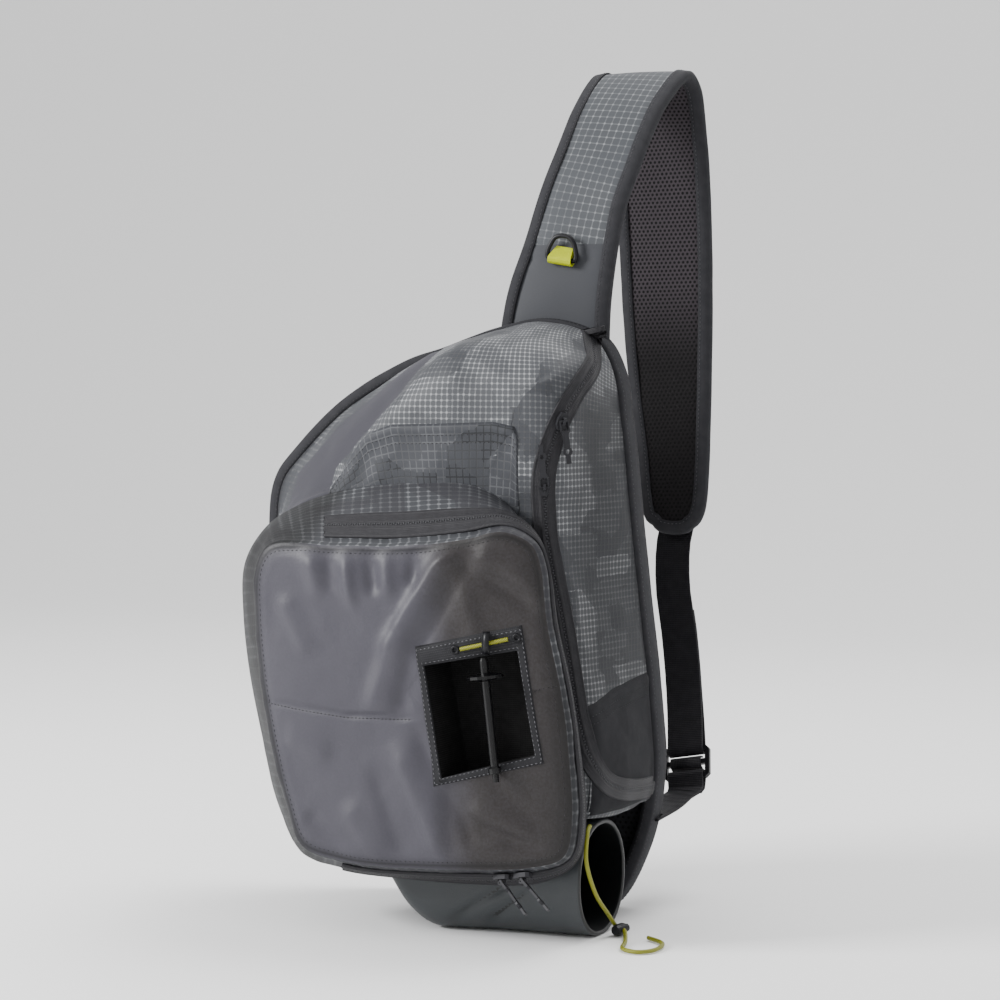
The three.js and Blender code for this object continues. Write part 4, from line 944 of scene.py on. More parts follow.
@dataclass(frozen=True)
class Ripstop(Finish):
    """Ripstop nylon: light heavy threads with a dot at each crossing, over soft darker patches."""

    patch: Colour = (0.05, 0.055, 0.064)
    dot: Colour = (0.3, 0.315, 0.33)
    plain: Colour = (0.034, 0.033, 0.042)
    pitch: float = 4.3
    patches: float = 0.85
    line: float = 0.3
    thread_edge: tuple[float, float] = (0.25, 0.62)
    dot_edge: tuple[float, float] = (0.55, 1.05)
    dot_strength: float = 0.85
    weave_pitch: float = 0.9

    def _near_threads(self, places: Sequence[Sig], edge: tuple[float, float]) -> tuple[Sig, ...]:
        """How near each place is to a heavy thread, from 0 to 1."""
        return tuple(1 - place.from_middle(self.pitch).step(*edge) for place in places)

    def _camouflage(self, net: Net, vector: Sig) -> Sig:
        """Broad and small angular patches, from 0 to 1."""
        broad, small = net.cells(vector, 0.021, 7.0), net.cells(vector, 0.06, 8.0)
        return (broad.step(0.44, 0.5) * 0.75 + small.step(0.52, 0.57) * 0.4).least(1.0) * self.patches

    def make(self) -> bpy.types.Material:
        """Builds the cloth.

        Returns:
            The material, plain where the zone layer is above 0 and darker where the shade layer is.
        """
        net = Net(self.name)
        u, v, vector = net.cloth()
        along, across = self._near_threads((u, v), self.thread_edge)
        thread = along.most(across)
        along, across = self._near_threads((u, v), self.dot_edge)
        fine = net.lumps(vector, 0.9, 1.0)
        patches = self._camouflage(net, vector)
        zone = net.layer(Layer.ZONE).step(-0.3, 0.3)
        ground = net.blend(patches, self.colour, self.patch)
        light = net.blend(patches, self.dot, tinted(self.patch, 0.25))
        threads = thread * self.line + along * across * (self.dot_strength - self.line)
        ground = net.blend(threads, ground, light)
        ground = net.blend(zone, ground, self.plain)
        colour = net.scaled(ground, 0.96 - net.layer(Layer.SHADE) * 0.6 + fine * 0.1)
        weave = u.from_middle(self.weave_pitch) + v.from_middle(self.weave_pitch)
        height = thread * (1 - zone) * 0.6 + weave * 0.25 + fine * 0.3
        return net.finish(colour, self.roughness, height, 0.4, 0.35, Specular_IOR_Level=0.22)


@dataclass(frozen=True)
class Coated(Finish):
    """Coated nylon twill with a soft sheen, darkened to a brown towards one side by painted shade."""

    # Painted shade: the dark brown that the cloth turns to on its right side, turned from the light.
    shaded_brown: Colour = (0.036, 0.03, 0.027)
    coat: float = 0.06
    shaded_side: tuple[float, float] = (-30.0, 14.0)
    shaded_side_height: float = 150.0
    twill_pitch: float = 0.8

    def make(self) -> bpy.types.Material:
        """Builds the cloth.

        Returns:
            The material, darker where the shade layer is above 0.
        """
        net = Net(self.name)
        x, _, z, place = net.place()
        # Painted shade towards the right side; the broad noise wanders its edge and also varies the
        # roughness.
        worn = net.lumps(place, 0.02, 4.0)
        side = (x + (z - self.shaded_side_height) * 0.1 + (worn - 0.5) * 36).step(*self.shaded_side)
        colour = net.blend(side * 0.92, self.colour, self.shaded_brown)
        fine = net.lumps(place, 0.55, 3.0)
        colour = net.blend((fine - 0.35) * 0.35, colour, tinted(self.colour, 1.6))
        colour = net.scaled(colour, 1 - net.layer(Layer.SHADE) * 0.6)
        twill = (x + z).from_middle(self.twill_pitch)
        height = twill * 0.5 + fine * 0.8 + net.lumps(place, 0.12, 3.0) * 1.2
        gloss = {"Coat_Weight": self.coat, "Coat_Roughness": 0.4, "Specular_IOR_Level": 0.24}
        return net.finish(colour, worn * 0.25 + (self.roughness - 0.12), height, 0.5, 0.35, **gloss)


@dataclass(frozen=True)
class Tape(Finish):
    """Woven tape or webbing, ribbed along its cloth's run or up and across the bag."""

    rib: float = 1.1
    along: bool = True
    lift: float = 0.25

    def make(self) -> bpy.types.Material:
        """Builds the tape.

        Returns:
            The material.
        """
        net = Net(self.name)
        u, v, _ = net.cloth()
        x, _, z, place = net.place()
        ribs = (v if self.along else z).from_middle(self.rib) * (2 / self.rib)
        cross = (u if self.along else x).from_middle(self.rib * 1.3) * (1.5 / self.rib)
        dust = net.lumps(place, 0.16, 4.0)
        # Lighter on the rib crests, where the relief is highest: a painted highlight; the dust is random
        # tone.
        colour = net.blend(ribs * 0.35 + (dust - 0.5) * 0.5, self.colour, tinted(self.colour, 1.9, 0.02))
        height = ribs * 0.7 + cross * 0.5 + dust * 0.4
        return net.finish(colour, self.roughness, height, 0.7, self.lift, Specular_IOR_Level=0.2)


@dataclass(frozen=True)
class AirMesh(Finish):
    """Knitted spacer mesh with round holes in a honeycomb."""

    # Painted shade: the holes are coloured near black for the shade inside them.
    hole: Colour = (0.006, 0.006, 0.008)
    pitch: float = 3.6
    row_pitch: float = 1.73
    hole_edge: tuple[float, float] = (0.5, 1.7)

    def make(self) -> bpy.types.Material:
        """Builds the mesh.

        Returns:
            The material, darker where the shade layer is above 0.
        """
        net = Net(self.name)
        u, v, vector = net.cloth()
        across, down = self.pitch, self.pitch * self.row_pitch

        def away(shift: float) -> Sig:
            """Squared distance to the nearest hole of one of two grids."""
            a, b = (u + shift * across) % across - across / 2, (v + shift * down) % down - down / 2
            return a * a + b * b

        open_hole = 1 - away(0.0).least(away(0.5)).step(*self.hole_edge)
        fine = net.lumps(vector, 1.2, 2.0)
        # The holes painted near black: painted shade inside them.
        colour = net.blend(open_hole, self.colour, self.hole)
        colour = net.scaled(colour, 1 - net.layer(Layer.SHADE) * 0.85 + fine * 0.1)
        height = 1 - open_hole + fine * 0.3
        return net.finish(colour, self.roughness, height, 0.8, 0.6, Specular_IOR_Level=0.2)


@dataclass(frozen=True)
class Moulded(Finish):
    """Heavy coated cloth with a fine pebbled skin."""

    def make(self) -> bpy.types.Material:
        """Builds the cloth.

        Returns:
            The material, darker where the shade layer is above 0.
        """
        net = Net(self.name)
        place = net.place()[3]
        fine = net.lumps(place, 0.8, 3.0)
        broad = net.lumps(place, 0.03, 3.0)
        scuff = (broad - 0.35) * 0.7 + (fine - 0.5) * 0.3
        colour = net.blend(scuff, self.colour, tinted(self.colour, 1.5))
        colour = net.scaled(colour, 1 - net.layer(Layer.SHADE) * 0.85)
        return net.finish(colour, broad * 0.2 + self.roughness - 0.1, fine + broad * 0.4, 0.4, 0.35)


@dataclass(frozen=True)
class Metal(Finish):
    """Dark plated metal or moulded plastic with worn edges."""

    metal: float = 0.25
    grain: float = 0.9
    gloss: float = 0.25

    def make(self) -> bpy.types.Material:
        """Builds the hard surface.

        Returns:
            The material.
        """
        net = Net(self.name)
        wear = net.lumps(net.place()[3], self.grain, 3.0)
        colour = net.blend((wear - 0.4) * 0.8, self.colour, tinted(self.colour, 1.7))
        fixed = {"Metallic": self.metal, "Specular_IOR_Level": self.gloss}
        return net.finish(colour, wear * 0.2 + self.roughness - 0.1, wear, 0.15, 0.1, **fixed)


@dataclass(frozen=True)
class Braid(Finish):
    """Braided elastic cord: two crossing sets of bundles."""

    # Painted shade in the grooves between the bundles.
    dark: Colour = (0.2, 0.2, 0.01)
    pitch: float = 1.6

    def make(self) -> bpy.types.Material:
        """Builds the braid.

        Returns:
            The material.
        """
        net = Net(self.name)
        x, y, z, _ = net.place()
        a = (z + x * 0.9 + y * 0.5).from_middle(self.pitch) * (2 / self.pitch)
        b = (z - x * 0.9 - y * 0.5).from_middle(self.pitch) * (2 / self.pitch)
        both = a.least(b)
        # Darker in the grooves, where the relief is lowest: painted shade.
        colour = net.blend(both.step(0.0, 0.6), self.dark, self.colour)
        return net.finish(colour, self.roughness, both, 0.6, 0.25)


LIGHT_RIPSTOP = Ripstop(
    "light_ripstop", (0.064, 0.067, 0.073), 0.56, patch=(0.034, 0.036, 0.042), dot=(0.3, 0.305, 0.315)
)
SLASH_RIPSTOP = Ripstop(
    "slash_ripstop",
    (0.044, 0.046, 0.053),
    dot=(0.092, 0.095, 0.102),
    patch=(0.034, 0.036, 0.042),
    pitch=5.2,
    patches=0.95,
    line=0.8,
)
STRAP_RIPSTOP = Ripstop(
    "strap_ripstop",
    (0.056, 0.06, 0.066),
    0.56,
    plain=(0.038, 0.04, 0.046),
    patches=0.35,
    pitch=6.0,
    dot=(0.22, 0.228, 0.238),
)
POCKET_GUSSET = Ripstop(
    "gusset_ripstop",
    (0.04, 0.042, 0.047),
    patches=0.7,
    dot=(0.17, 0.175, 0.185),
    patch=(0.027, 0.026, 0.031),
    pitch=4.6,
)
# The pocket's cloth, with a dark brown of painted shade on its right side.
POCKET_CLOTH = Coated("pocket_coated", (0.052, 0.05, 0.062), 0.44, shaded_brown=(0.017, 0.014, 0.0125))
DARK_TAPE = Tape("dark_tape", (0.012, 0.012, 0.014), 0.7)
EDGE_TAPE = Tape("edge_tape", (0.017, 0.017, 0.02), 0.75, rib=0.8)
DARK_CLOTH = Tape("dark_cloth", (0.0075, 0.0075, 0.0095), 0.8, rib=0.7)
WEBBING = Tape("webbing", (0.0045, 0.004, 0.006), rib=1.6, along=False, lift=0.4)
ZIP_TAPE = Tape("zip_tape", (0.014, 0.0135, 0.016), 0.5, rib=0.9)
ZIP_TEETH = Metal("zip_teeth", (0.03, 0.03, 0.034), 0.35, metal=0.0)
# The hole colours of both meshes are painted shade inside the holes.
STRAP_MESH = AirMesh("strap_air_mesh", (0.036, 0.03, 0.035), 0.8, hole=(0.002, 0.002, 0.0025))
PANEL_MESH = AirMesh("panel_air_mesh", (0.012, 0.012, 0.014), 0.85, pitch=4.4, hole=(0.002, 0.002, 0.0025))
BASE_CLOTH = Moulded("base_coated", (0.024, 0.028, 0.031), 0.48)
GUNMETAL = Metal("gunmetal", (0.02, 0.02, 0.023), 0.46)
DARK_PLASTIC = Metal("dark_plastic", (0.004, 0.004, 0.0055), 0.4, metal=0.0)
BLACK_GLOSS = Metal("black_gloss", (0.0015, 0.0015, 0.002), 0.3, metal=0.0, gloss=0.3)
# The cord's darker yellow is painted shade in its grooves.
YELLOW_CORD = Braid("yellow_cord", (0.26, 0.27, 0.0), 0.5, dark=(0.09, 0.09, 0.0))
YELLOW_TAPE = Tape("yellow_tape", (0.34, 0.38, 0.0), 0.55, rib=0.9, along=False)
THREAD = Finish("thread", (0.11, 0.11, 0.12))
EDGE_THREAD = Finish("edge_thread", (0.038, 0.038, 0.043))
DARK_THREAD = Finish("dark_thread", (0.008, 0.008, 0.01))
# Near-black cloth of the window's well: painted shade inside the recess behind the window.
SHADED_WELL_CLOTH = Tape("shaded_well_cloth", (0.0018, 0.0016, 0.0018), 0.85, rib=1.4, along=False)


@dataclass
class SoftForm:
    """A soft case between a back outline and a front outline."""

    table: Table
    back_y: float
    front_y: Callable[[dict[str, Array]], Array]
    lip: float = 0.0
    bulge: float = 2.0
    around: int = 300
    gusset_swell: float = 2.0
    easing_rounds: int = 90
    eased_radius: tuple[float, float] = (15, 30)
    ring_spacing: float = 0.9
    roundness: float = 2.9

    def outlines(self) -> tuple[Array, Array, Array, Array]:
        """Reads the table at every station.

        Returns:
            Back outline, front outline, the front's Y and the edge's radius.
        """
        s = self.table.sample(self.around)
        back = np.stack([s["bx"] * BODY_WIDTH, s["bz"] * BODY_HEIGHT], -1)
        front = np.stack([s["fx"] * BODY_WIDTH, s["fz"] * BODY_HEIGHT], -1)
        return back, front, self.front_y(s), s["r"]

    def gusset(self, share: Array, grow: float = 0.0) -> Array:
        """Rings on the side wall.

        Args:
            share: Places from back, 0, to front, 1.
            grow: Distance outwards.

        Returns:
            Points, shares by stations by 3.
        """
        back, front, y, r = self.outlines()
        rings = []
        for t in share:
            swell = self.gusset_swell * math.sin(math.pi * min(max(t, 0), 1))
            flat = offset_outline(back * (1 - t) + front * t, grow + swell)
            depth = (self.back_y - self.lip) * (1 - t) + (y + r) * t
            rings.append(np.stack([flat[:, 0], depth, flat[:, 1]], -1))
        return np.array(rings)

    def edge(self, angles: Sequence[float]) -> Array:
        """Rings on the rounded front edge.

        Args:
            angles: Degrees from the side wall.

        Returns:
            Points, angles by stations by 3.
        """
        _, front, y, r = self.outlines()
        rings = []
        for a in np.radians(angles):
            flat = self.eased(offset_outline(front, r * math.cos(a) - r), r)
            rings.append(np.stack([flat[:, 0], y + r - r * math.sin(a), flat[:, 1]], -1))
        return np.array(rings)

    def eased(self, flat: Array, r: Array) -> Array:
        """Rounds an outline off where the edge's radius is large, so that it doesn't cross itself.

        Args:
            flat: The outline.
            r: The edge's radius at each station.

        Returns:
            The outline, the same where the radius is small.
        """
        soft = flat
        for _ in range(self.easing_rounds):
            soft = (np.roll(soft, 1, 0) + 2 * soft + np.roll(soft, -1, 0)) / 4
        share = smooth(*self.eased_radius, r)[:, None]
        return flat * (1 - share) + soft * share

    def face(self, count: int) -> Array:
        """Rings on the front, from its rim to near its middle.

        Args:
            count: How many rings.

        Returns:
            Points, rings by stations by 3.
        """
        rim = self.edge([90.0])[0]
        t = (np.arange(1, count + 1) / (count + 1)) ** self.ring_spacing
        rings = rim[None] * (1 - t[:, None, None]) + rim.mean(0) * t[:, None, None]
        rings[..., 1] -= (self.bulge * (1 - (1 - t) ** self.roundness))[:, None]
        return rings


@dataclass
class MainBody:
    """The upright case with its wing, seams and folds."""

    form: SoftForm = field(
        default_factory=lambda: SoftForm(
            BODY_TABLE,
            BACK_Y,
            lambda s: np.full(len(s["bx"]), FRONT_FACE_Y),
            lip=11.0,
            around=400,
            gusset_swell=1.5,
        )
    )
    flange: float = 7.0
    wing_stations: tuple[float, ...] = (0.6, 2.0, 8.5, 10.5)
    panel_left: Places = (
        (283.0, -172.0), (293.0, -169.6), (320.0, -163.3), (363.0, -122.3), (398.0, -77.7),
        (415.0, -52.0),
    )
    panel_right: Places = (
        (283.0, -134.0), (311.0, -132.9), (324.4, -129.8), (350.5, -107.8), (378.6, -83.8),
        (396.8, -67.5), (410.0, -53.5), (415.0, -50.0),
    )
    panel_foot: float = 255.0
    seam_slant: tuple[float, float] = (0.906, 0.4226)
    seam_depth: float = 0.9
    seam_width: float = 2.2
    lumps: Rows = ((55.0, 1.0, 2.4), (17.0, 2.0, 0.8))
    folds: Rows = (
        (-150, 330, -105, 372, 9, 1.6, 0.3),
        (-178, 250, -160, 318, 10, 1.5, -0.2),
        (-60, 395, -20, 420, 14, 1.2, 0.3),
        (-120, 300, -95, 340, 11, -1.4, 0.3),
    )

    def build(self) -> Surface:
        """Makes the case.

        Returns:
            Its surface, for what lies on it.
        """
        rings = self._rings()
        grid = Grid(rings, wraps=True, cloth=self._cloth(rings))
        zone = self._plain_panel(rings)
        grid.layers = {Layer.ZONE: zone, Layer.SHADE: self._shade(rings)}
        height = ridges(rings[..., 0], rings[..., 2], self.folds) * (rings[..., 1] < 40)
        height += lumpy(rings, self.lumps)
        height -= self.seam_depth * np.exp(-((zone / self.seam_width) ** 2))
        height *= smooth(0, 0.12, np.linspace(0, 6, len(rings)))[:, None]
        surface = Surface.closed(grid.raised(height))
        surface.build("body_shell", [LIGHT_RIPSTOP], "ripstop", "main_body")
        return surface

    def _rings(self) -> Array:
        """Lays the case's rings from back to front.

        Returns:
            Points, drawn in at the wing's back edge so that the tape's face shows.
        """
        shares = np.linspace(0, 1, 12)
        side, drawn_in = self.form.gusset(shares), self.form.gusset(shares, -self.flange)
        station = np.arange(self.form.around) / self.form.around * len(BODY_TABLE.rows)
        wing = smooth(*self.wing_stations[:2], station) * (1 - smooth(*self.wing_stations[2:], station))
        pull = ((1 - smooth(0.05, 0.4, shares))[:, None] * wing[None])[..., None]
        side = side * (1 - pull) + drawn_in * pull
        return np.concatenate([side, self.form.edge([18, 36, 54, 72, 90]), self.form.face(26)])

    def _cloth(self, rings: Array) -> Array:
        """Unrolls the case's cloth round its front edges.

        Args:
            rings: The case's points.

        Returns:
            Cloth coordinates.
        """
        flat = np.concatenate([rings, rings[:, :1]], 1)
        deep = flat[..., 1] - FRONT_FACE_Y
        lean = np.tanh((flat[..., 0] + 20) / 70) * 0.95
        over = 0.55 * smooth(340, 430, flat[..., 2])
        return np.stack([flat[..., 0] + deep * lean, flat[..., 2] + deep * over, 0 * lean], -1)

    def _plain_panel(self, rings: Array) -> Array:
        """Finds the plain panel at the upper left, between two seams.

        Args:
            rings: The case's points.

        Returns:
            Distance to the nearer seam, positive inside the panel.
        """
        x, y, z = np.moveaxis(rings, -1, 0)
        across = x * self.seam_slant[0] + y * self.seam_slant[1]
        left, right = (np.interp(z, *np.array(line).T) for line in (self.panel_left, self.panel_right))
        inside = np.minimum(across - left, right - across)
        return np.where((z > self.panel_foot) & (x < 0), inside, OUTSIDE_ZONE)

    def _shade(self, rings: Array) -> Array:
        """How much painted shade darkens the right side, which faces away from the light.

        Args:
            rings: The case's points.

        Returns:
            Shade at each point.
        """
        x, y, z = np.moveaxis(rings, -1, 0)
        side = smooth(40, 75, x + 0.35 * (y + 30)) * (1 - smooth(360, 420, z))
        return side * (0.25 + 0.5 * smooth(85, 135, z))


@dataclass
class FrontPocket:
    """The gusseted work pocket with gathers, creases and its window's hole."""

    window: Places = ((-0.077, 0.445), (-0.034, 0.268), (0.169, 0.31), (0.127, 0.474))
    rim: Places = ((-0.098, 0.475), (-0.052, 0.254), (0.187, 0.298), (0.135, 0.514))
    form: SoftForm = field(
        default_factory=lambda: SoftForm(
            POCKET_TABLE,
            POCKET_BACK_Y,
            lambda s: POCKET_BACK_Y - POCKET_DEPTH * s["d"],
            bulge=5.0,
            around=420,
            gusset_swell=2.5,
        )
    )
    gusset_rows: float = 12.0
    fold_strength: float = 1.25
    hole_margin: float = 2.4
    lumps: Rows = ((60.0, 5.0, 2.6), (24.0, 6.0, 0.7), (9.0, 8.0, 0.16))
    gusset_lumps: Rows = ((30.0, 7.0, 1.0), (11.0, 9.0, 0.5))
    folds: Rows = (
        (-5, 278, -48, 211, 12, 5.0, 0.4), (-48, 211, -64, 162, 12, 3.6, 0.4),
        (8, 272, -28, 208, 9, -4.0, 0.0), (-30, 216, -44, 160, 8, -2.6, 0.2),
        (-86, 276, -80, 236, 5, 2.6, 0.0), (-69, 276, -63, 243, 5, -2.6, 0.0),
        (-55, 276, -51, 244, 5, 2.4, 0.0),
        (-100, 276, -96, 246, 6, -2.2, 0.0),
        (-114, 276, -108, 240, 7, 2.0, 0.0),
        (-34, 278, -34, 250, 5, -2.2, 0.0), (-27, 145, 12, 76, 11, -4.2, 0.3),
        (-44, 132, -11, 64, 9, 3.4, 0.3), (-62, 118, -40, 58, 9, -2.4, 0.2),
        (-84, 92, -58, 54, 9, 2.2, 0.2), (-116, 84, -88, 58, 7, -1.8, 0.0),
        (12, 270, 64, 243, 9, 2.6, 0.3), (20, 258, 66, 226, 8, -2.2, 0.2),
        (-121, 262, -40, 236, 12, 1.8, 0.3),
        (-136, 236, -116, 200, 8, 1.8, 0.2),
        (-132, 138, -100, 128, 9, 1.6, 0.3),
        (-2, 262, 12, 214, 8, 2.0, 0.0),
        (-156, 165, -84, 157, 2.4, -1.5, 0.0),
        (-84, 157, -30, 158, 2.4, -1.5, 0.0),
        (52, 178.5, 72, 183.8, 2.4, -1.9, 0.0),
        (10, 96, 52, 80, 8, 2.2, 0.3), (18, 82, 62, 70, 6, -1.8, 0.0),
        (-11, 112, -2, 58, 6, -2.0, 0.0),
    )
    seams: tuple[Places, ...] = (
        ((-148, 162), (-120, 158.5), (-84, 155), (-36, 156)),
        ((53.5, 179.0), (60.0, 181.2), (68.5, 183.0)),
    )

    def hole(self, grow: float) -> Array:
        """The window's corners on the front, grown by a distance."""
        return offset_outline(np.array(self.window) * (BODY_WIDTH, BODY_HEIGHT), grow)

    def build(self) -> Surface:
        """Makes the pocket.

        Returns:
            The surface without its hole, for what lies on it.
        """
        form = self.form
        rings = [form.gusset(np.linspace(0, 1, 10)), form.edge([22, 45, 68, 90]), form.face(46)]
        grid = Grid(np.concatenate(rings), wraps=True).measured()
        rows, cols = grid.points.shape[:2]
        row = np.arange(rows)[:, None]
        plain = np.full((rows, cols), OUTSIDE_ZONE)
        grid.layers = {Layer.SHADE: self._shade(grid.points[..., 0], row), Layer.ZONE: plain}
        grid = grid.raised(self._height(grid.points, row))
        whole = Surface.closed(grid)
        cut = self.hole(self.hole_margin)

        def keep(middles: Array) -> Array:
            """Faces outside the window."""
            inside = self.away(middles[:, 0], middles[:, 2], cut) < 0
            return ~(inside & (middles[:, 1] < POCKET_BACK_Y - 20))

        def slot_of(shares: Array) -> Array:
            """The gusset's cloth up to the front seam, and the front's cloth past it."""
            return (shares[:, 0] > (self.gusset_rows - 0.5) / rows).astype(int)

        middle = grid.points[-1].mean(0)
        closed = bool(self.away(middle[:1], middle[2:3], cut)[0] > 0)
        open_front = Surface().add_grid(grid, keep=keep, cap_end=closed, slot=1, slot_of=slot_of)
        open_front.build("pocket_shell", [POCKET_GUSSET, POCKET_CLOTH], "coated", "front_pocket")
        self._stitch(whole, grid)
        return whole

    def _height(self, points: Array, row: Array) -> Array:
        """Works out folds, gathers and the groove of the front seam.

        Args:
            points: The pocket's points.
            row: Each row's number, in a column.

        Returns:
            The height at each point.
        """
        x, z = points[..., 0], points[..., 2]
        height = ridges(x, z, self.folds) * self.fold_strength
        height += lumpy(points, self.lumps)
        height *= smooth(11, 17, row + 0.0)
        side = (row < self.gusset_rows) * smooth(0, 3, row + 0.0)
        height += lumpy(points, self.gusset_lumps) * side
        height -= np.exp(-(((row - self.gusset_rows - 0.5) / 0.8) ** 2)) * 1.3
        near_window = np.exp(-np.clip(self.away(x, z, self.hole(0.0)), 0, None) / 10.0)
        return height * np.where(row > self.gusset_rows + 2, 1 - 0.85 * near_window, 1.0)

    def _shade(self, x: Array, row: Array) -> Array:
        """How much painted shade darkens the right third, turned from the light, and the groove of the
        front seam, and how much darker the left gusset is, partly its own darker cloth and partly painted
        shade.

        Args:
            x: X of each point.
            row: Each row's number, in a column.

        Returns:
            Shade at each point.
        """
        right = smooth(52, 78, x) * 0.8
        left = 1.2 * (1 - smooth(-128, -104, x)) * (row < self.gusset_rows + 0.5)
        seam = 1.25 * np.exp(-(((row - self.gusset_rows - 0.2) / 0.7) ** 2))
        return np.maximum(np.maximum(right, left), seam)

    def away(self, x: Array, z: Array, quad: Array) -> Array:
        """Signed distance to a convex outline.

        Args:
            x: X of the places.
            z: Z of the places.
            quad: The outline's corners.

        Returns:
            The distance, negative inside.
        """
        worst = np.full(np.shape(x), -np.inf)
        middle = quad.mean(0)
        for a, b in zip(quad, np.roll(quad, -1, 0)):
            n = unit(np.array([b[1] - a[1], a[0] - b[0]]))
            n = -n if (middle - a) @ n > 0 else n
            worst = np.maximum(worst, (x - a[0]) * n[0] + (z - a[1]) * n[1])
        return worst

    def _stitch(self, whole: Surface, grid: Grid) -> None:
        """Adds the stitching round the front and along the low seam across it.

        Args:
            whole: The pocket without its hole.
            grid: The pocket's grid.
        """
        stitches = Surface()
        ring = int(self.gusset_rows) + 1
        up = grid.normals()[ring]
        path = grid.points[ring] + up * 0.15
        add_stitches(stitches, np.vstack([path, path[:1]]), np.vstack([up, up[:1]]), 3.6, 2.4, 0.3)
        tree = whole.tree()
        for seam in self.seams:
            line = np.insert(np.array(seam, float), 1, 0.0, axis=1)
            points, up = lay(tree, resample(line, 4.0), (0, 1, 0))
            add_stitches(stitches, points + up * 0.15, up, 3.0, 2.6, 0.36)
        stitches.build("pocket_stitching", [DARK_THREAD], "dark")


@dataclass
class ZipBands:
    """The main zip and the pocket's zip: tape, raised edges and teeth."""

    half_width: float = 8.0
    under: float = 0.6
    tooth_pitch: float = 1.9
    tooth_size: tuple[float, float, float] = (1.25, 0.62, 0.75)
    tooth_lift: float = 0.5
    tooth_shift: float = 0.35
    profile: Places = (
        (0.0, 0.5), (0.07, 0.5), (0.12, 1.3), (0.3, 1.5), (0.34, 1.0), (0.8, 1.0), (0.86, 1.7),
        (0.97, 1.7), (1.0, 0.3),
    )
    pocket_depths: tuple[float, float] = (0.56, 0.94)
    pocket_stations: tuple[float, float] = (10.0, 24.4)

    def build(self, body: BVHTree, pocket: SoftForm) -> None:
        """Lays both zips."""
        self._main(body)
        self._pocket(pocket)

    def _band(self, name: str, replaced: str, base: Array, up: Array, around: bool) -> None:
        """Makes one zip from a strip of laid points.

        Args:
            name: The piece's name.
            replaced: The frame's node.
            base: Points, stations by places across by 3.
            up: Normals at those points.
            around: Whether the strip's order runs the other way round.
        """
        places = base.shape[1]
        lift = np.interp(np.abs(np.linspace(-1, 1, places)), *np.array(self.profile).T)
        top = base + up * lift[None, :, None]
        ring = np.concatenate([top, (base - up * self.under)[:, ::-1]], 1)
        surface = Surface.closed(Grid(ring, wraps=True, turned=around))
        middle = np.concatenate([base[:, places // 2], up[:, places // 2]], 1)
        line = resample(middle, self.tooth_pitch)
        spots, ups = line[:, :3], unit(line[:, 3:])
        size = np.array(self.tooth_size)
        for k, (p, n, s) in enumerate(zip(spots, ups, unit(np.gradient(spots, axis=0)))):
            side = np.cross(s, n) * (1 if k % 2 else -1)
            foot = p + n * self.tooth_lift + side * self.tooth_shift
            add_block(surface, foot, np.array([side, s, n]), size, 1)
        surface.build(name, [ZIP_TAPE, ZIP_TEETH], "dark", replaced)

    def _main(self, body: BVHTree) -> None:
        """Lays the main zip on the case's right front, as seen along the diagonal between X and Y.

        Args:
            body: The case's surface.
        """
        read = ZIP_TABLE.sample(150)
        x, y = read["x"] * BODY_WIDTH, FRONT_FACE_Y + read["y"] * BODY_DEPTH
        line = resample(np.stack([(x + y) * DIAGONAL, read["z"] * BODY_HEIGHT], -1), 3.0)
        tangent = unit(np.gradient(line, axis=0))
        side = np.stack([-tangent[:, 1], tangent[:, 0]], -1)
        t = np.linspace(-1, 1, 21) * self.half_width
        flat = line[:, None] + side[:, None] * t[None, :, None]
        start = np.stack([flat[..., 0] * DIAGONAL, flat[..., 0] * DIAGONAL, flat[..., 1]], -1)
        points, up = lay(body, start, (-1, 1, 0))
        up = unit(up + np.roll(up, 1, 0) + np.roll(up, -1, 0))
        self._band("main_zip", "main_zip_tape", points, up, True)

    def _pocket(self, form: SoftForm) -> None:
        """Lays the pocket's zip on its side wall.

        Args:
            form: The pocket's form.
        """
        rings = form.gusset(np.linspace(*self.pocket_depths, 17))
        normals = Grid(rings, wraps=True).normals()
        first, last = (int(s * form.around / len(POCKET_TABLE.rows)) for s in self.pocket_stations)
        index = np.arange(first, last) % form.around
        base = np.swapaxes(rings[:, index], 0, 1)
        up = np.swapaxes(normals[:, index], 0, 1)
        self._band("pocket_zip", "pocket_zip_tape", base + up * self.under, up, False)


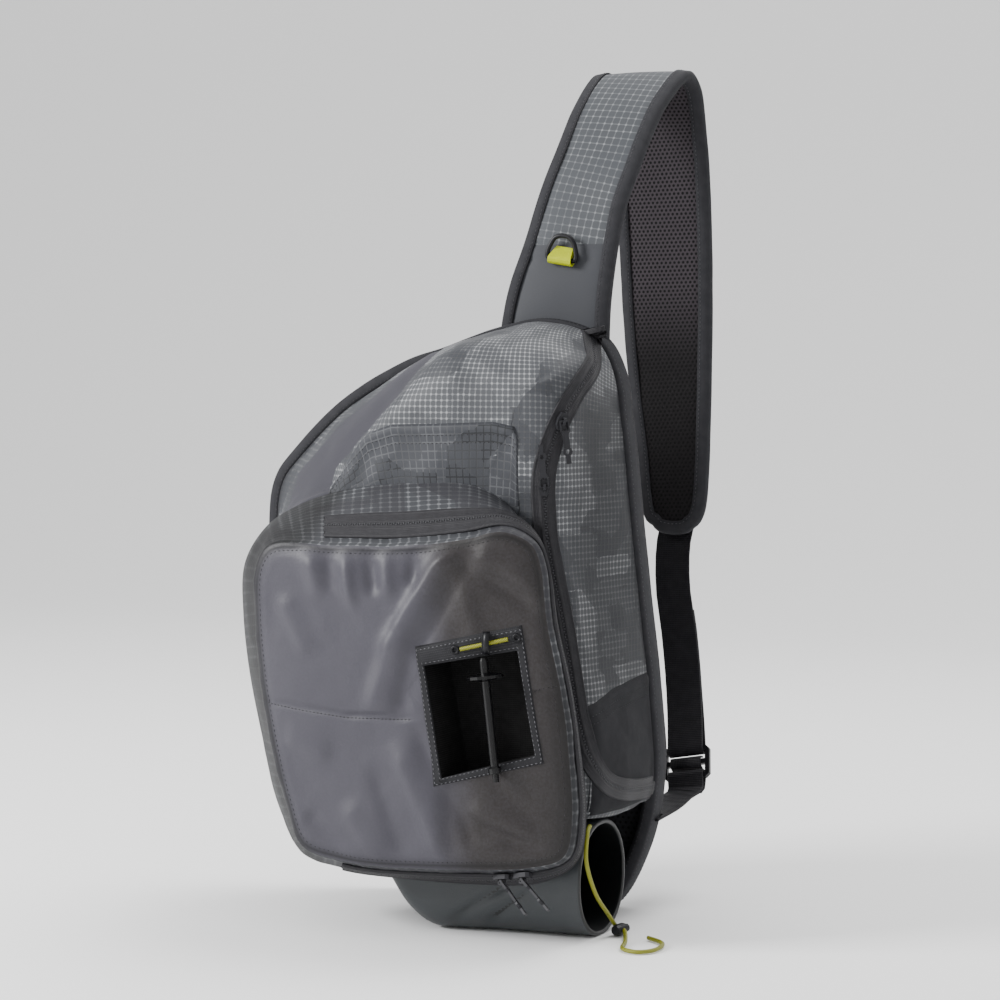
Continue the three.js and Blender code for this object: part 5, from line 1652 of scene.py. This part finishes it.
@dataclass
class LaidPatches:
    """Flat cloth sewn on the case: the slash pocket and the dark patch for flies."""

    slash_top: Places = (
        (-0.42, 0.68), (-0.386, 0.748), (-0.316, 0.807), (-0.248, 0.823), (-0.14, 0.825),
        (0.0, 0.829), (0.05, 0.822), (0.058, 0.8),
    )
    slash_right: float = 0.06
    slash_low: float = 0.665
    fly_top: Places = ((0.02, 0.374), (0.36, 0.395), (0.7, 0.405), (0.98, 0.41))
    fly_low: float = 0.2
    step: float = 2.5
    lumps: Rows = ((26.0, 11.0, 0.6),)
    rim_row: float = 1.4
    rim_height: float = 0.9
    sunk: float = 0.1
    under: float = 0.5

    def build(self, body: BVHTree) -> None:
        """Lays both patches on the case's surface.

        Args:
            body: The case's surface.
        """
        top = resample(np.array(self.slash_top) * (BODY_WIDTH, BODY_HEIGHT), self.step)
        top = top[np.concatenate([[True], np.diff(top[:, 0]) > 0.05])]
        across = np.linspace(top[0, 0], self.slash_right * BODY_WIDTH, len(top))
        flat = self._between(top, across, self.slash_low, 26)
        laid = lay(body, np.insert(flat, 1, 0.0, axis=2), (0, 1, 0))
        self._patch("slash_pocket_panel", "slash_pocket", *laid, SLASH_RIPSTOP, 0.9, 0.1)
        top = resample(np.array(self.fly_top) * (BODY_DEPTH, BODY_HEIGHT) + (FRONT_FACE_Y, 0), self.step)
        flat = self._between(top, top[:, 0], self.fly_low, 30)
        laid = lay(body, np.insert(flat, 0, 0.0, axis=2), (-1, 0, 0))
        self._patch("fly_patch_panel", "fly_patch", *laid, DARK_CLOTH, 0.6, 0.0)

    def _between(self, top: Array, across: Array, low: float, count: int) -> Array:
        """Fills the space between a patch's upper edge and its straight foot.

        Args:
            top: The upper edge.
            across: Places along the foot.
            low: The foot's height as a share of the case's.
            count: How many rows.

        Returns:
            Flat places, rows by places by 2.
        """
        foot = np.stack([across, np.full(len(top), low * BODY_HEIGHT)], -1)
        t = np.linspace(0, 1, count)[:, None, None]
        return top[None] * (1 - t) + foot[None] * t

    def _patch(
        self,
        name: str,
        replaced: str,
        points: Array,
        up: Array,
        finish: Finish,
        lift: float,
        shade: float,
    ) -> None:
        """Makes one patch with a bound upper edge and two rows of stitches.

        Args:
            name: The piece's name.
            replaced: The frame's node.
            points: Points on the case, rows from the upper edge down.
            up: Normals at those points.
            finish: The cloth.
            lift: The cloth's thickness.
            shade: How much darker than its finish it is.
        """
        rows, cols = points.shape[:2]
        row = np.arange(rows)[:, None]
        height = lift + self.rim_height * np.exp(-((row - self.rim_row) ** 2) / 2.2)
        height = height + lumpy(points, self.lumps)
        rim = (row == 0) | (np.arange(cols) % (cols - 1) == 0)[None, :]
        upper = points + up * np.where(rim, self.sunk, height)[..., None]
        sheet = np.concatenate([upper, (points - up * self.under)[::-1]], 0)
        grid = Grid(np.swapaxes(sheet, 0, 1), wraps=True, turned=True).measured()
        grid.cloth = grid.cloth[..., [1, 0, 2]]
        shape = grid.points.shape[:2]
        grid.layers = {Layer.SHADE: np.full(shape, shade), Layer.ZONE: np.full(shape, OUTSIDE_ZONE)}
        Surface.closed(grid).build(name, [finish], "dark", replaced)
        stitches = Surface()
        for at in (3, 5):
            line, normal = upper[at, 2:-2], up[at, 2:-2]
            add_stitches(stitches, line + normal * 0.1, normal, 3.4, 2.2, 0.3)
        stitches.build(name + "_stitching", [DARK_THREAD], "dark")


@dataclass
class WindowFrame:
    """The stitched frame round the pocket's window, with the eyelets and loop of its line holder."""

    pocket: FrontPocket
    across: int = 9
    per_side: int = 24
    under: float = 1.2
    turned_in: float = 2.0
    profile: Places = ((0.0, 0.8), (0.15, 1.5), (0.85, 1.3), (1.0, 0.2))
    eyelets: Places = ((-0.006, 0.4725), (0.126, 0.494))
    eyelet_radius: float = 2.3
    eyelet_bar: float = 0.9
    eyelet_lift: float = 1.9
    loop_at: tuple[float, float] = (0.062, 0.485)
    loop_height: float = 4.2
    loop_reach: float = 7.5
    loop_lift: float = 1.6
    loop_half: tuple[float, float] = (2.6, 0.5)

    def build(self, tree: BVHTree) -> None:
        """Lays the frame on the pocket's front.

        Args:
            tree: The pocket's surface without its hole.
        """
        inner = self._sides(self.pocket.hole(0.0))
        outer = self._sides(np.array(self.pocket.rim) * (BODY_WIDTH, BODY_HEIGHT))
        places = np.linspace(0, 1, self.across)
        t = places[:, None, None]
        flat = inner[None] * (1 - t) + outer[None] * t
        points, up = lay(tree, np.insert(flat, 1, 0.0, axis=2), (0, 1, 0))
        up = unit(up.reshape(-1, 3).mean(0))
        lift = np.interp(places, *np.array(self.profile).T)[:, None, None]
        upper, low = points + up * lift, points - up * self.under
        sheet = np.concatenate([low[:1] - up * self.turned_in, upper, low[::-1]], 0)
        surface = Surface().add_grid(Grid(sheet, wraps=True).measured())
        surface.build("window_binding", [DARK_TAPE], "dark", "window_frame")
        stitches = Surface()
        ups = np.broadcast_to(up, points[0].shape)
        for path, thick in ((upper[-2] * 0.75 + upper[-4] * 0.25, 0.42), (upper[1], 0.3)):
            add_stitches(stitches, path + ups * 0.15, ups, 3.2, 2.2, thick)
        stitches.build("window_stitching", [THREAD], "dark")
        self._holder(tree)

    def _sides(self, quad: Array) -> Array:
        """Points along the sides of an outline, the same number on each side."""
        t = np.arange(self.per_side)[:, None] / self.per_side
        return np.concatenate([a * (1 - t) + b * t for a, b in zip(quad, np.roll(quad, -1, 0))])

    def _spot(self, tree: BVHTree, share: tuple[float, float]) -> tuple[Array, Array]:
        """A place on the pocket's front and its normal, from shares of the case's width and height."""
        at, normal = lay(tree, np.array([[share[0] * BODY_WIDTH, 0, share[1] * BODY_HEIGHT]]), (0, 1, 0))
        return at[0], normal[0]

    def _holder(self, tree: BVHTree) -> None:
        """Adds the black eyelets and the small loop over the elastic.

        Args:
            tree: The pocket's surface without its hole.
        """
        surface = Surface()
        turn = np.arange(20)[:, None] / 20 * 2 * math.pi
        for share in self.eyelets:
            at, n = self._spot(tree, share)
            e1 = unit(np.cross(n, [0, 0, 1.0]))
            e2 = np.cross(n, e1)
            ring = at + n * self.eyelet_lift + (np.cos(turn) * e1 + np.sin(turn) * e2) * self.eyelet_radius
            surface.add_grid(tube(ring, self.eyelet_bar, 8, closed=True))
        at, n = self._spot(tree, self.loop_at)
        bend = np.linspace(0.15, 3.0, 14)[:, None]
        arch = at + n * (self.loop_lift + self.loop_height * np.sin(bend))
        arch = arch + np.cos(bend) * (0, 0, -self.loop_reach)
        w, t = self.loop_half
        section = np.array([(-w, -t), (w, -t), (w, t), (-w, t)])
        across = np.tile([1.0, 0, 0], (len(arch), 1))
        surface.add_grid(sweep(arch, across, section), cap_start=True, cap_end=True)
        surface.build("window_eyelets", [DARK_PLASTIC], "plastic")


@dataclass
class BaseSleeve:
    """The open-ended sleeve that the bag stands on."""

    per_corner: int = 25
    per_side: int = 6
    sections: int = 110
    least_radius: float = 0.5
    round_share: float = 0.97
    lip: Places = ((0.2, 0.8), (-0.8, 1.6), (-2.2, 1.6), (-3.0, 0.8))
    grooves: Rows = (
        (16, 38, -24, 10, 3.2, -3.0, 0.3),
        (34, 34, 0, 8, 3.2, -3.0, 0.3),
    )
    lumps: Rows = ((40.0, 21.0, 1.0), (14.0, 22.0, 0.3))
    hem_x: float = 61.0
    hem_depth: float = 1.1
    inner_shade: float = 0.95

    def ring(self, row: dict[str, Array], i: int, grow: float) -> Array:
        """One section of the sleeve.

        Args:
            row: The table's values at every section.
            i: Which section.
            grow: Distance outwards.

        Returns:
            The section's points.
        """
        y0 = row["y0"][i] * BODY_DEPTH - grow
        y1 = min(row["y1"][i] * BODY_DEPTH, BACK_Y - 1) + grow
        low0 = max(row["b0"][i], 0) * SLEEVE_HEIGHT - grow
        low1 = max(row["b1"][i], 0) * SLEEVE_HEIGHT - grow
        top = row["top"][i] * SLEEVE_HEIGHT + grow
        room = min(top - low0, top - low1, y1 - y0) / 2
        r = min(max(row["r"][i] + grow, self.least_radius), room * self.round_share)
        corners = (
            (y0, low0, 180, 1, 1), (y1, low1, 270, -1, 1), (y1, top, 0, -1, -1),
            (y0, top, 90, 1, -1),
        )
        x = np.full(self.per_corner, row["x"][i] * BODY_WIDTH)
        arcs = []
        for cy, cz, start, sy, sz in corners:
            a = np.radians(np.linspace(start, start + 90, self.per_corner))
            arcs.append(np.stack([x, cy + sy * r + r * np.cos(a), cz + sz * r + r * np.sin(a)], -1))
        shares = (np.arange(self.per_side) + 1)[:, None] / (self.per_side + 1)
        whole = []
        for arc, following in zip(arcs, [*arcs[1:], arcs[0]]):
            whole += [arc, arc[-1] * (1 - shares) + following[0] * shares]
        return np.concatenate(whole)

    def build(self) -> None:
        """Makes the sleeve: outside, rolled mouth and inside in one skin."""
        row = SLEEVE_TABLE.sample(self.sections)
        last = self.sections - 1
        outer = [self.ring(row, i, 0.0) for i in range(self.sections)]
        lip = [self.ring(row, last, grow) + (out, 0, 0) for grow, out in self.lip]
        inner = [self.ring(row, i, -SLEEVE_WALL) for i in range(last, self.sections // 3, -1)]
        rings = np.array(outer + lip + inner)
        outside = (np.arange(len(rings)) < self.sections)[:, None]
        x, y, z = np.moveaxis(rings, -1, 0)
        height = lumpy(rings, self.lumps) * outside
        height += ridges(x, z, self.grooves) * outside * (y < 10)
        height -= self.hem_depth * np.exp(-(((x - self.hem_x) / 1.1) ** 2)) * outside
        height = np.where(z < 1.5, np.minimum(height, 0), height)
        grid = Grid(rings, wraps=True)
        shade = np.where(outside, 0.0, self.inner_shade)
        grid.layers = {Layer.SHADE: np.broadcast_to(shade, rings.shape[:2])}
        grid.face_out(50, 4, rings[50, 4] - rings[50].mean(0))
        grid = grid.raised(height)
        grid.points[..., 2] = np.maximum(grid.points[..., 2], 0.0)
        Surface.closed(grid).build("base_shell", [BASE_CLOTH], "base", "base_sleeve")


@dataclass
class BackPanel:
    """The padded panel against the wearer's back, and the binding round the bag's edge."""

    around: int = 300
    gap: float = 0.35
    steps: Places = ((0.0, 0.0), (0.0, 6.0), (-0.6, 9.6), (-2.2, 12.2), (-4.6, 13.0))
    most_swell: float = 0.3
    lumps: Rows = ((45.0, 31.0, 0.7),)
    channels: Rows = (
        (-60, 20, -30, 420, 3.5, -3.2, 0.0),
        (-160, 300, 60, 320, 3.5, -3.0, 0.0),
        (-175, 190, 70, 200, 3.5, -3.0, 0.0),
        (-130, 90, 74, 96, 3.5, -3.0, 0.0),
    )
    binding_foot: float = 2.5
    binding_half: float = BINDING_WIDTH / 2 - 0.4
    binding_middle: float = BACK_Y + 1.0
    stitch_inset: float = 2.6

    def outline(self, grow: float, count: int) -> Array:
        """The panel's outline."""
        s = BODY_TABLE.sample(count)
        return offset_outline(np.stack([s["px"] * BODY_WIDTH, s["pz"] * BODY_HEIGHT], -1), grow)

    def build(self) -> None:
        """Makes the panel and the binding."""
        rings = []
        for grow, back in self.steps:
            line = self.outline(grow, self.around)
            line[:, 1] = np.maximum(line[:, 1], 0)
            rings.append(np.insert(line, 1, BACK_Y + self.gap + back, axis=1))
        rim = rings[-1]
        rings += [rim * (1 - t) + rim.mean(0) * t for t in np.arange(1, 34) / 34]
        rings = np.array(rings)
        inside = smooth(4, 9, np.arange(len(rings))[:, None] + 0.0)
        height = ridges(rings[..., 0], rings[..., 2], self.channels) + lumpy(rings, self.lumps)
        rings[..., 1] += np.minimum(height * inside, self.most_swell)
        grid = Grid(rings, wraps=True).spread()
        grid.face_out(20, 0, np.array([0.0, 1.0, 0.0]))
        piece = Surface.closed(grid).build("back_pad", [PANEL_MESH], "dark", "back_panel")
        self._binding()

    def _binding_line(self) -> tuple[Array, Array]:
        """Follows the panel's edge from one foot over the top to the other.

        Returns:
            The binding's middle line and the directions outwards.
        """
        line = self.outline(self.gap, 700)
        leaves_floor = int(np.flatnonzero(line[:, 1] < self.binding_foot)[-1]) + 1
        line = np.roll(line, -leaves_floor, 0)
        line = resample(line[line[:, 1] >= self.binding_foot], 3.0)
        tangent = unit(np.gradient(line, axis=0))
        out = np.stack([tangent[:, 1], -tangent[:, 0]], -1)
        out = -out if ((line - line.mean(0)) * out).sum() < 0 else out
        return np.insert(line, 1, self.binding_middle, axis=1), np.insert(out, 1, 0.0, axis=1)

    def _binding(self) -> None:
        """Folds the tape round the edge and stitches it."""
        path, out = self._binding_line()
        half = self.binding_half
        section = (
            (-half, -7.4), (-half - 0.4, -4.0), (-half - 0.2, 0.9), (-half + 0.9, 2.0), (-3, 2.2),
            (0, 2.4), (3, 2.2), (half - 0.9, 1.7), (half, 0.6), (half, -1.0),
        )
        wavy = rough(path, 24.0, 41.0)[:, None] * 0.35
        ring = np.array([path + (0, y, 0) + out * (h + (wavy if h > 1 else 0)) for y, h in section])
        grid = Grid(np.swapaxes(ring, 0, 1), wraps=True)
        grid.face_out(50, 4, out[50])
        Surface.closed(grid).build("edge_binding", [EDGE_TAPE], "dark", "back_binding")
        stitches = Surface()
        for y in (self.stitch_inset - half, half - self.stitch_inset):
            add_stitches(stitches, path + (0, y, 0) + out * (2.05 + wavy), out, 3.4, 2.3, 0.34)
        face = np.tile([0.0, -1.0, 0.0], (len(path), 1))
        add_stitches(stitches, path + (0, -half - 0.3, 0) + out * -4.6, face, 3.4, 2.3, 0.3)
        stitches.build("edge_stitching", [EDGE_THREAD], "dark")


@dataclass(frozen=True)
class Ribbon:
    """The strap's middle line, its directions across and off its face, and its half width."""

    path: Array
    side: Array
    normal: Array
    half: Array


@dataclass
class ShoulderStrap:
    """The padded strap with its mesh lining and bound edges."""

    half_thick: float = STRAP_THICKNESS / 2
    edge_share: float = 0.42
    pad_share: float = 0.985
    root_y: float = BACK_Y + 0.03 * BODY_DEPTH
    lumps: Rows = ((34.0, 51.0, 0.7),)
    seam_z: float = 490.0
    stitch_row: float = 11.0
    seam_width: float = 1.6
    # Heights over which painted shade on the mesh lining fades out upwards.
    lining_shade: tuple[float, float] = (395.0, 470.0)
    steps: int = 150
    columns: int = 40
    turn_points: int = 13
    turn_reach: float = 5.0
    stitch_inset: float = 6.4

    def ribbon(self) -> Ribbon:
        """Reads the strap's table.

        Returns:
            The strap's course.
        """
        s = STRAP_TABLE.sample(self.steps)
        y, z = self.root_y + s["y"] * STRAP_REACH, BODY_HEIGHT + s["z"] * STRAP_RISE
        path = np.stack([s["x"] * STRAP_WIDTH, y, z], -1)
        tangent = unit(np.gradient(path, axis=0))
        side = unit(np.array([1.0, 0, 0]) - tangent * tangent[:, :1])
        return Ribbon(path, side, np.cross(side, tangent), s["w"] * STRAP_WIDTH / 2)

    def build(self) -> None:
        """Makes the pad and its binding."""
        ribbon = self.ribbon()
        path, normal, half = ribbon.path, ribbon.normal, ribbon.half
        t = np.concatenate([np.linspace(-1, 1, self.columns), np.linspace(1, -1, self.columns)])
        face = np.repeat([1.0, -1.0], self.columns)
        thick = self.half_thick * (self.edge_share + (1 - self.edge_share) * (1 - np.abs(t) ** 5)) * face
        across = ribbon.side[:, None] * (t * self.pad_share)[None, :, None] * half[:, None, None]
        points = path[:, None] + across + normal[:, None] * thick[None, :, None]
        grid = Grid(points, wraps=True)
        grid.face_out(60, self.columns // 2, normal[60])
        u = np.concatenate([t, t[:1]])[None] * half[:, None]
        run = np.concatenate([[0], np.cumsum(np.linalg.norm(np.diff(path, axis=0), axis=1))])
        grid.cloth = np.stack(np.broadcast_arrays(u, run[:, None], 0.0), -1)
        front = (normal[:, 1] < 0.2)[:, None] & (face > 0)[None]
        zone = np.where(front, self.seam_z - points[..., 2], OUTSIDE_ZONE)
        # Painted shade on the lower part of the mesh lining.
        dark = np.where((face < 0)[None], 1 - smooth(*self.lining_shade, points[..., 2]), 0.0)
        grid.layers = {Layer.ZONE: zone, Layer.SHADE: dark}
        height = lumpy(points, self.lumps)
        below = self.seam_z - self.stitch_row - points[..., 2]
        for away, deep in ((zone, 0.8), (below, 0.7)):
            height -= deep * np.exp(-((away / self.seam_width) ** 2)) * front
        grid = grid.raised(height * (1 - smooth(0.8, 0.95, np.abs(t))[None]))

        def slot_of(shares: Array) -> Array:
            """Ripstop on the outer side and mesh on the inner side."""
            return (shares[:, 1] > 0.497).astype(int)

        surface = Surface().add_grid(grid, cap_start=True, cap_end=True, slot_of=slot_of)
        piece = surface.build("strap_pad", [STRAP_RIPSTOP, STRAP_MESH], "ripstop", "shoulder_strap")
        self._binding(ribbon)

    def _edge_line(self, ribbon: Ribbon) -> tuple[Array, Array, Array]:
        """Follows the pad's edge down one side, round its end and up the other.

        Args:
            ribbon: The strap's course.

        Returns:
            The edge, and the directions off the face and away from the pad.
        """
        path, side, normal = ribbon.path[2:], ribbon.side[2:], ribbon.normal[2:]
        half = ribbon.half[2:, None]
        ahead = unit(path[-1] - path[-2]) * self.turn_reach
        angles = np.radians(np.linspace(-80, 80, self.turn_points))[:, None]
        turn = path[-1] + side[-1] * np.sin(angles) * half[-1] + ahead * np.cos(angles)
        edge = np.concatenate([path - side * half, turn, (path + side * half)[::-1]])
        up = np.concatenate([normal, np.tile(normal[-1], (self.turn_points, 1)), normal[::-1]])
        both = resample(np.concatenate([edge, up], 1), 3.0)
        edge, up = both[:, :3], unit(both[:, 3:])
        out = unit(np.cross(unit(np.gradient(edge, axis=0)), up))
        return edge, up, -out if ((edge - edge.mean(0)) * out).sum() < 0 else out

    def _binding(self, ribbon: Ribbon) -> None:
        """Folds the tape over both edges and round the pad's end, and stitches it.

        Args:
            ribbon: The strap's course.
        """
        edge, up, out = self._edge_line(ribbon)
        h = self.half_thick * 0.55
        upper = ((-8.6, h + 1.6), (-8.2, h + 2.6), (-4, h + 1.9), (0.2, h + 1.2), (1.6, h * 0.6))
        inner = ((-4, h + 0.6), (-0.6, h * 0.7))
        lower = tuple((o, -n) for o, n in upper[::-1])
        section = (*upper, (1.9, 0), *lower, *((o, -n) for o, n in inner), (0.2, 0), *inner[::-1])
        wavy = rough(edge, 20.0, 61.0)[:, None] * 0.3
        ring = np.array([edge + out * (o + wavy) + up * n for o, n in section])
        grid = Grid(np.swapaxes(ring, 0, 1), wraps=True)
        grid.face_out(60, 5, out[60])
        Surface.closed(grid).build("strap_edging", [EDGE_TAPE], "dark", "strap_binding")
        stitches = Surface()
        for sign in (1, -1):
            line = edge + out * (wavy - self.stitch_inset) + up * sign * (h + 2.4)
            add_stitches(stitches, line, up * sign, 3.2, 2.1, 0.32)
        stitches.build("strap_stitching", [EDGE_THREAD], "dark")


@dataclass
class DRing:
    """The ring on the strap's front, as a bent round bar."""

    width: float = 27.0
    height: float = 21.0
    bar: float = 1.75
    arch: Places = (
        (-1.0, 0.0), (0.0, 0.0), (1.0, 0.0), (1.0, 0.3), (0.72, 0.76), (0.36, 1.0), (-0.3, 1.0),
        (-0.7, 0.86), (-1.0, 0.34),
    )

    def build(self) -> None:
        """Makes the ring where the frame has it, on its own body."""
        joint = next(j for j in frame["joints"] if j["name"] == "d_ring_swing")
        at = np.array(joint["pos_m"]) / MM
        x_axis = unit(np.array(joint["axis"], float))
        z_axis = unit(np.cross(x_axis, np.cross([0, -1.0, 0], x_axis)))
        y_axis = np.cross(z_axis, x_axis)
        reach = (self.width / 2 - self.bar, self.height - 2 * self.bar)
        line = resample(np.array(self.arch) * reach, 1.6, closed=True)
        for _ in range(2):
            line = (np.roll(line, 1, 0) + 2 * line + np.roll(line, -1, 0)) / 4
        path = at + line[:, :1] * x_axis + line[:, 1:] * y_axis
        surface = Surface().add_grid(tube(path, self.bar, 12, closed=True))
        surface.build("ring_bar", [DARK_PLASTIC], "plastic", "d_ring", "ring")


@dataclass
class RetentionCord:
    """The elastic that runs down past the mouth, through its lock and lies in a loop."""

    radius: float = CORD_DIAMETER / 2
    mouth: float = 0.222 * BODY_WIDTH + CORD_DIAMETER / 2 + 3
    floor: float = CORD_DIAMETER / 2 + 0.05

    def path(self) -> Array:
        """Follows the cord's listed points.

        Returns:
            The cord's route, in millimetres.
        """
        x, y, d, h, floor = self.mouth, FRONT_FACE_Y, BODY_DEPTH, SLEEVE_HEIGHT, self.floor
        spots = (
            (x - 1.5, y - 0.03 * d, 1.0 * h), (x, y - 0.1 * d, 0.95 * h),
            (x + 2, y - 0.16 * d, 0.72 * h), (x + 4, y - 0.06 * d, 0.43 * h),
            (x + 5, y + 0.13 * d, 0.2 * h), (x + 7, y + 0.24 * d, 4.5), (x + 14, y + 0.2 * d, 4.2),
            (x + 24, y, floor), (x + 31, y - 0.2 * d, floor), (x + 44, y - 0.26 * d, floor),
            (x + 53, y - 0.16 * d, floor), (x + 50, y + 0.04 * d, floor),
            (x + 34, y + 0.16 * d, floor),
        )
        return resample(curve_through(np.array(spots), 120), 1.5)

    def build(self) -> None:
        path = self.path()
        surface = Surface.closed(tube(path, self.radius))
        piece = surface.build("retention_elastic", [YELLOW_CORD], "yellow", "retention_cord")


@dataclass
class BuckleWebbing:
    """The webbing that passes over the slider buckle's middle bar."""

    at: tuple[float, float, float] = (68.65, 168.2, 97.42)
    axes: tuple[tuple[float, float, float], ...] = (
        (0.9825, 0.0866, 0.165), (-0.1864, 0.4565, 0.87), (0.0, -0.8855, 0.4647),
    )
    half_run: Places = ((5.3, -3.4), (4.4, -1.2), (3.7, 1.4), (2.2, 3.1))
    crown: float = 3.5
    width: float = 24.0
    thickness: float = 1.5

    def build(self) -> None:
        """Makes the short threaded length."""
        x, y, z = (np.array(axis) for axis in self.axes)
        run = [*((-along, up) for along, up in self.half_run), (0, self.crown), *self.half_run[::-1]]
        line = resample(np.array(run), 0.8)
        path = np.array(self.at) + line[:, :1] * y + line[:, 1:] * z
        w, t = self.width / 2, self.thickness / 2
        section = np.array([(-w, -t), (w, -t), (w, t), (-w, t)])
        grid = sweep(path, np.tile(unit(x), (len(path), 1)), section)
        Surface.closed(grid).build("buckle_webbing", [WEBBING], "dark")


@dataclass
class Hardware:
    """Frame nodes that keep their own shape, softened at the edges and given their finish."""

    slider_edge: float = 0.3
    pull_edge: float = 0.22
    zips: tuple[tuple[str, tuple[str, str]], ...] = (
        ("main_zip", ("upper", "lower")),
        ("pocket_zip", ("left", "right")),
    )
    others: tuple[tuple[str, Finish, float, str], ...] = (
        ("slider_buckle", DARK_PLASTIC, 0.7, "plastic"),
        ("cord_lock", DARK_PLASTIC, 0.4, "plastic"),
        ("tippet_post", BLACK_GLOSS, 0.5, "plastic"),
        ("tippet_cord", YELLOW_CORD, 0.0, "yellow"),
        ("d_ring_tab", YELLOW_TAPE, 0.25, "yellow"),
        # The window's well, painted near black for the shade inside it.
        ("window_well", SHADED_WELL_CLOTH, 0.0, "dark"),
        ("webbing_anchor", WEBBING, 0.4, "dark"),
        ("strap_webbing", WEBBING, 0.3, "dark"),
        ("lower_webbing", WEBBING, 0.3, "dark"),
    )

    def build(self) -> None:
        """Dresses each node."""
        for zip_name, ends in self.zips:
            for end in ends:
                self._dress(f"{zip_name}_slider_{end}", GUNMETAL, self.slider_edge, "plastic")
                self._dress(f"{zip_name}_pull_{end}", GUNMETAL, self.pull_edge, "plastic")
        for row in self.others:
            self._dress(*row)

    def _dress(self, name: str, finish: Finish, edge: float, slot: str) -> None:
        """Softens one node's edges and gives it its finish.

        Args:
            name: The frame's node.
            finish: Its finish.
            edge: Width of the softened edges, or 0 for none.
            slot: The record's slot. Not used.
        """
        node = frame["nodes"][name]
        if edge:
            bevel = node.modifiers.new("soft_edge", "BEVEL")
            bevel.width = edge * MM
            bevel.segments = 2
            bevel.limit_method = "ANGLE"
        if not node.material_slots:
            node.data.materials.append(finish.material())
        for held in node.material_slots:
            held.material = finish.material()
        LOG.info("%s: frame node dressed", name)


@dataclass
class Studio:
    """Camera at the photograph's angle, floor and soft lights."""

    azimuth: float = 25.0
    elevation: float = 3.0
    distance: float = 1.984
    aim: tuple[float, float, float] = (0.0, 0.0, 0.305)
    lens: float = 100.0
    sensor: float = 36.0
    shift: float = -0.012
    floor_half_width: float = 12.0
    floor_front: float = -9.0
    sweep_start: float = 2.0
    sweep_radius: float = 2.5
    wall_top: float = 9.0
    floor_drop: float = 0.0005
    sky: float = 1.05

    def camera(self) -> None:
        """Makes the camera."""
        a, e = math.radians(self.azimuth), math.radians(self.elevation)
        back = Vector((math.sin(a) * math.cos(e), -math.cos(a) * math.cos(e), math.sin(e)))
        data = bpy.data.cameras.new("camera")
        data.lens, data.sensor_width, data.shift_x = self.lens, self.sensor, self.shift
        made = self._placed("camera", data, Vector(self.aim) + back * self.distance)
        bpy.context.scene.camera = made

    def _placed(self, name: str, data: Any, spot: Vector) -> bpy.types.Object:
        """Puts a camera or a light at a place, facing the bag.

        Args:
            name: The object's name.
            data: The camera or the light.
            spot: Its place in metres.

        Returns:
            The object.
        """
        made = bpy.data.objects.new(name, data)
        made.rotation_mode = "QUATERNION"
        made.location = spot
        made.rotation_quaternion = (Vector(self.aim) - spot).to_track_quat("-Z", "Y")
        bpy.context.scene.collection.objects.link(made)
        return made

    def _lamp(self, name: str, spot: tuple[float, float, float], size: float, power: float) -> None:
        """Adds one soft light that faces the bag.

        Args:
            name: The light's name.
            spot: Its place in metres.
            size: Its side in metres.
            power: Its power in watts.
        """
        data = bpy.data.lights.new(name, "AREA")
        data.shape, data.size, data.energy = "SQUARE", size, power
        self._placed(name, data, Vector(spot))

    def build(self) -> None:
        """Makes the floor and the lights."""
        start, radius = self.sweep_start, self.sweep_radius
        bend = np.radians(np.linspace(0, 90, 19))
        turn = [(start + radius * math.sin(a), radius - radius * math.cos(a)) for a in bend]
        side = [(self.floor_front, 0.0), *turn, (start + radius, self.wall_top)]
        half, n = self.floor_half_width, len(side)
        points = [(x, y, z - self.floor_drop) for x in (-half, half) for y, z in side]
        mesh = bpy.data.meshes.new("floor")
        mesh.from_pydata(points, [], [(k, n + k, n + k + 1, k + 1) for k in range(n - 1)])
        mesh.polygons.foreach_set("use_smooth", [True] * (n - 1))
        mesh.materials.append(Finish("floor_paper", (0.9, 0.9, 0.9), 0.9).material())
        floor = bpy.data.objects.new("floor", mesh)
        bpy.context.scene.collection.objects.link(floor)
        world = bpy.data.worlds.new("studio")
        world.use_nodes = True
        background = world.node_tree.nodes["Background"]
        background.inputs[0].default_value = (1.0, 1.0, 1.0, 1.0)
        background.inputs[1].default_value = self.sky
        bpy.context.scene.world = world
        self._lamp("key_light", (-1.7, -1.3, 1.3), 0.8, 80.0)
        self._lamp("top_light", (0.3, 0.9, 2.2), 1.2, 40.0)


def main() -> None:
    """Builds the dressed bag in order."""
    logging.basicConfig(level=logging.INFO, format="%(name)s %(message)s")
    studio = Studio()
    studio.camera()
    RetentionCord().build()
    body_tree = MainBody().build().tree()
    pocket = FrontPocket()
    pocket_tree = pocket.build().tree()
    ZipBands().build(body_tree, pocket.form)
    LaidPatches().build(body_tree)
    WindowFrame(pocket).build(pocket_tree)
    BaseSleeve().build()
    BackPanel().build()
    ShoulderStrap().build()
    DRing().build()
    BuckleWebbing().build()
    Hardware().build()
    studio.build()


if __name__ == "__main__":
    main()
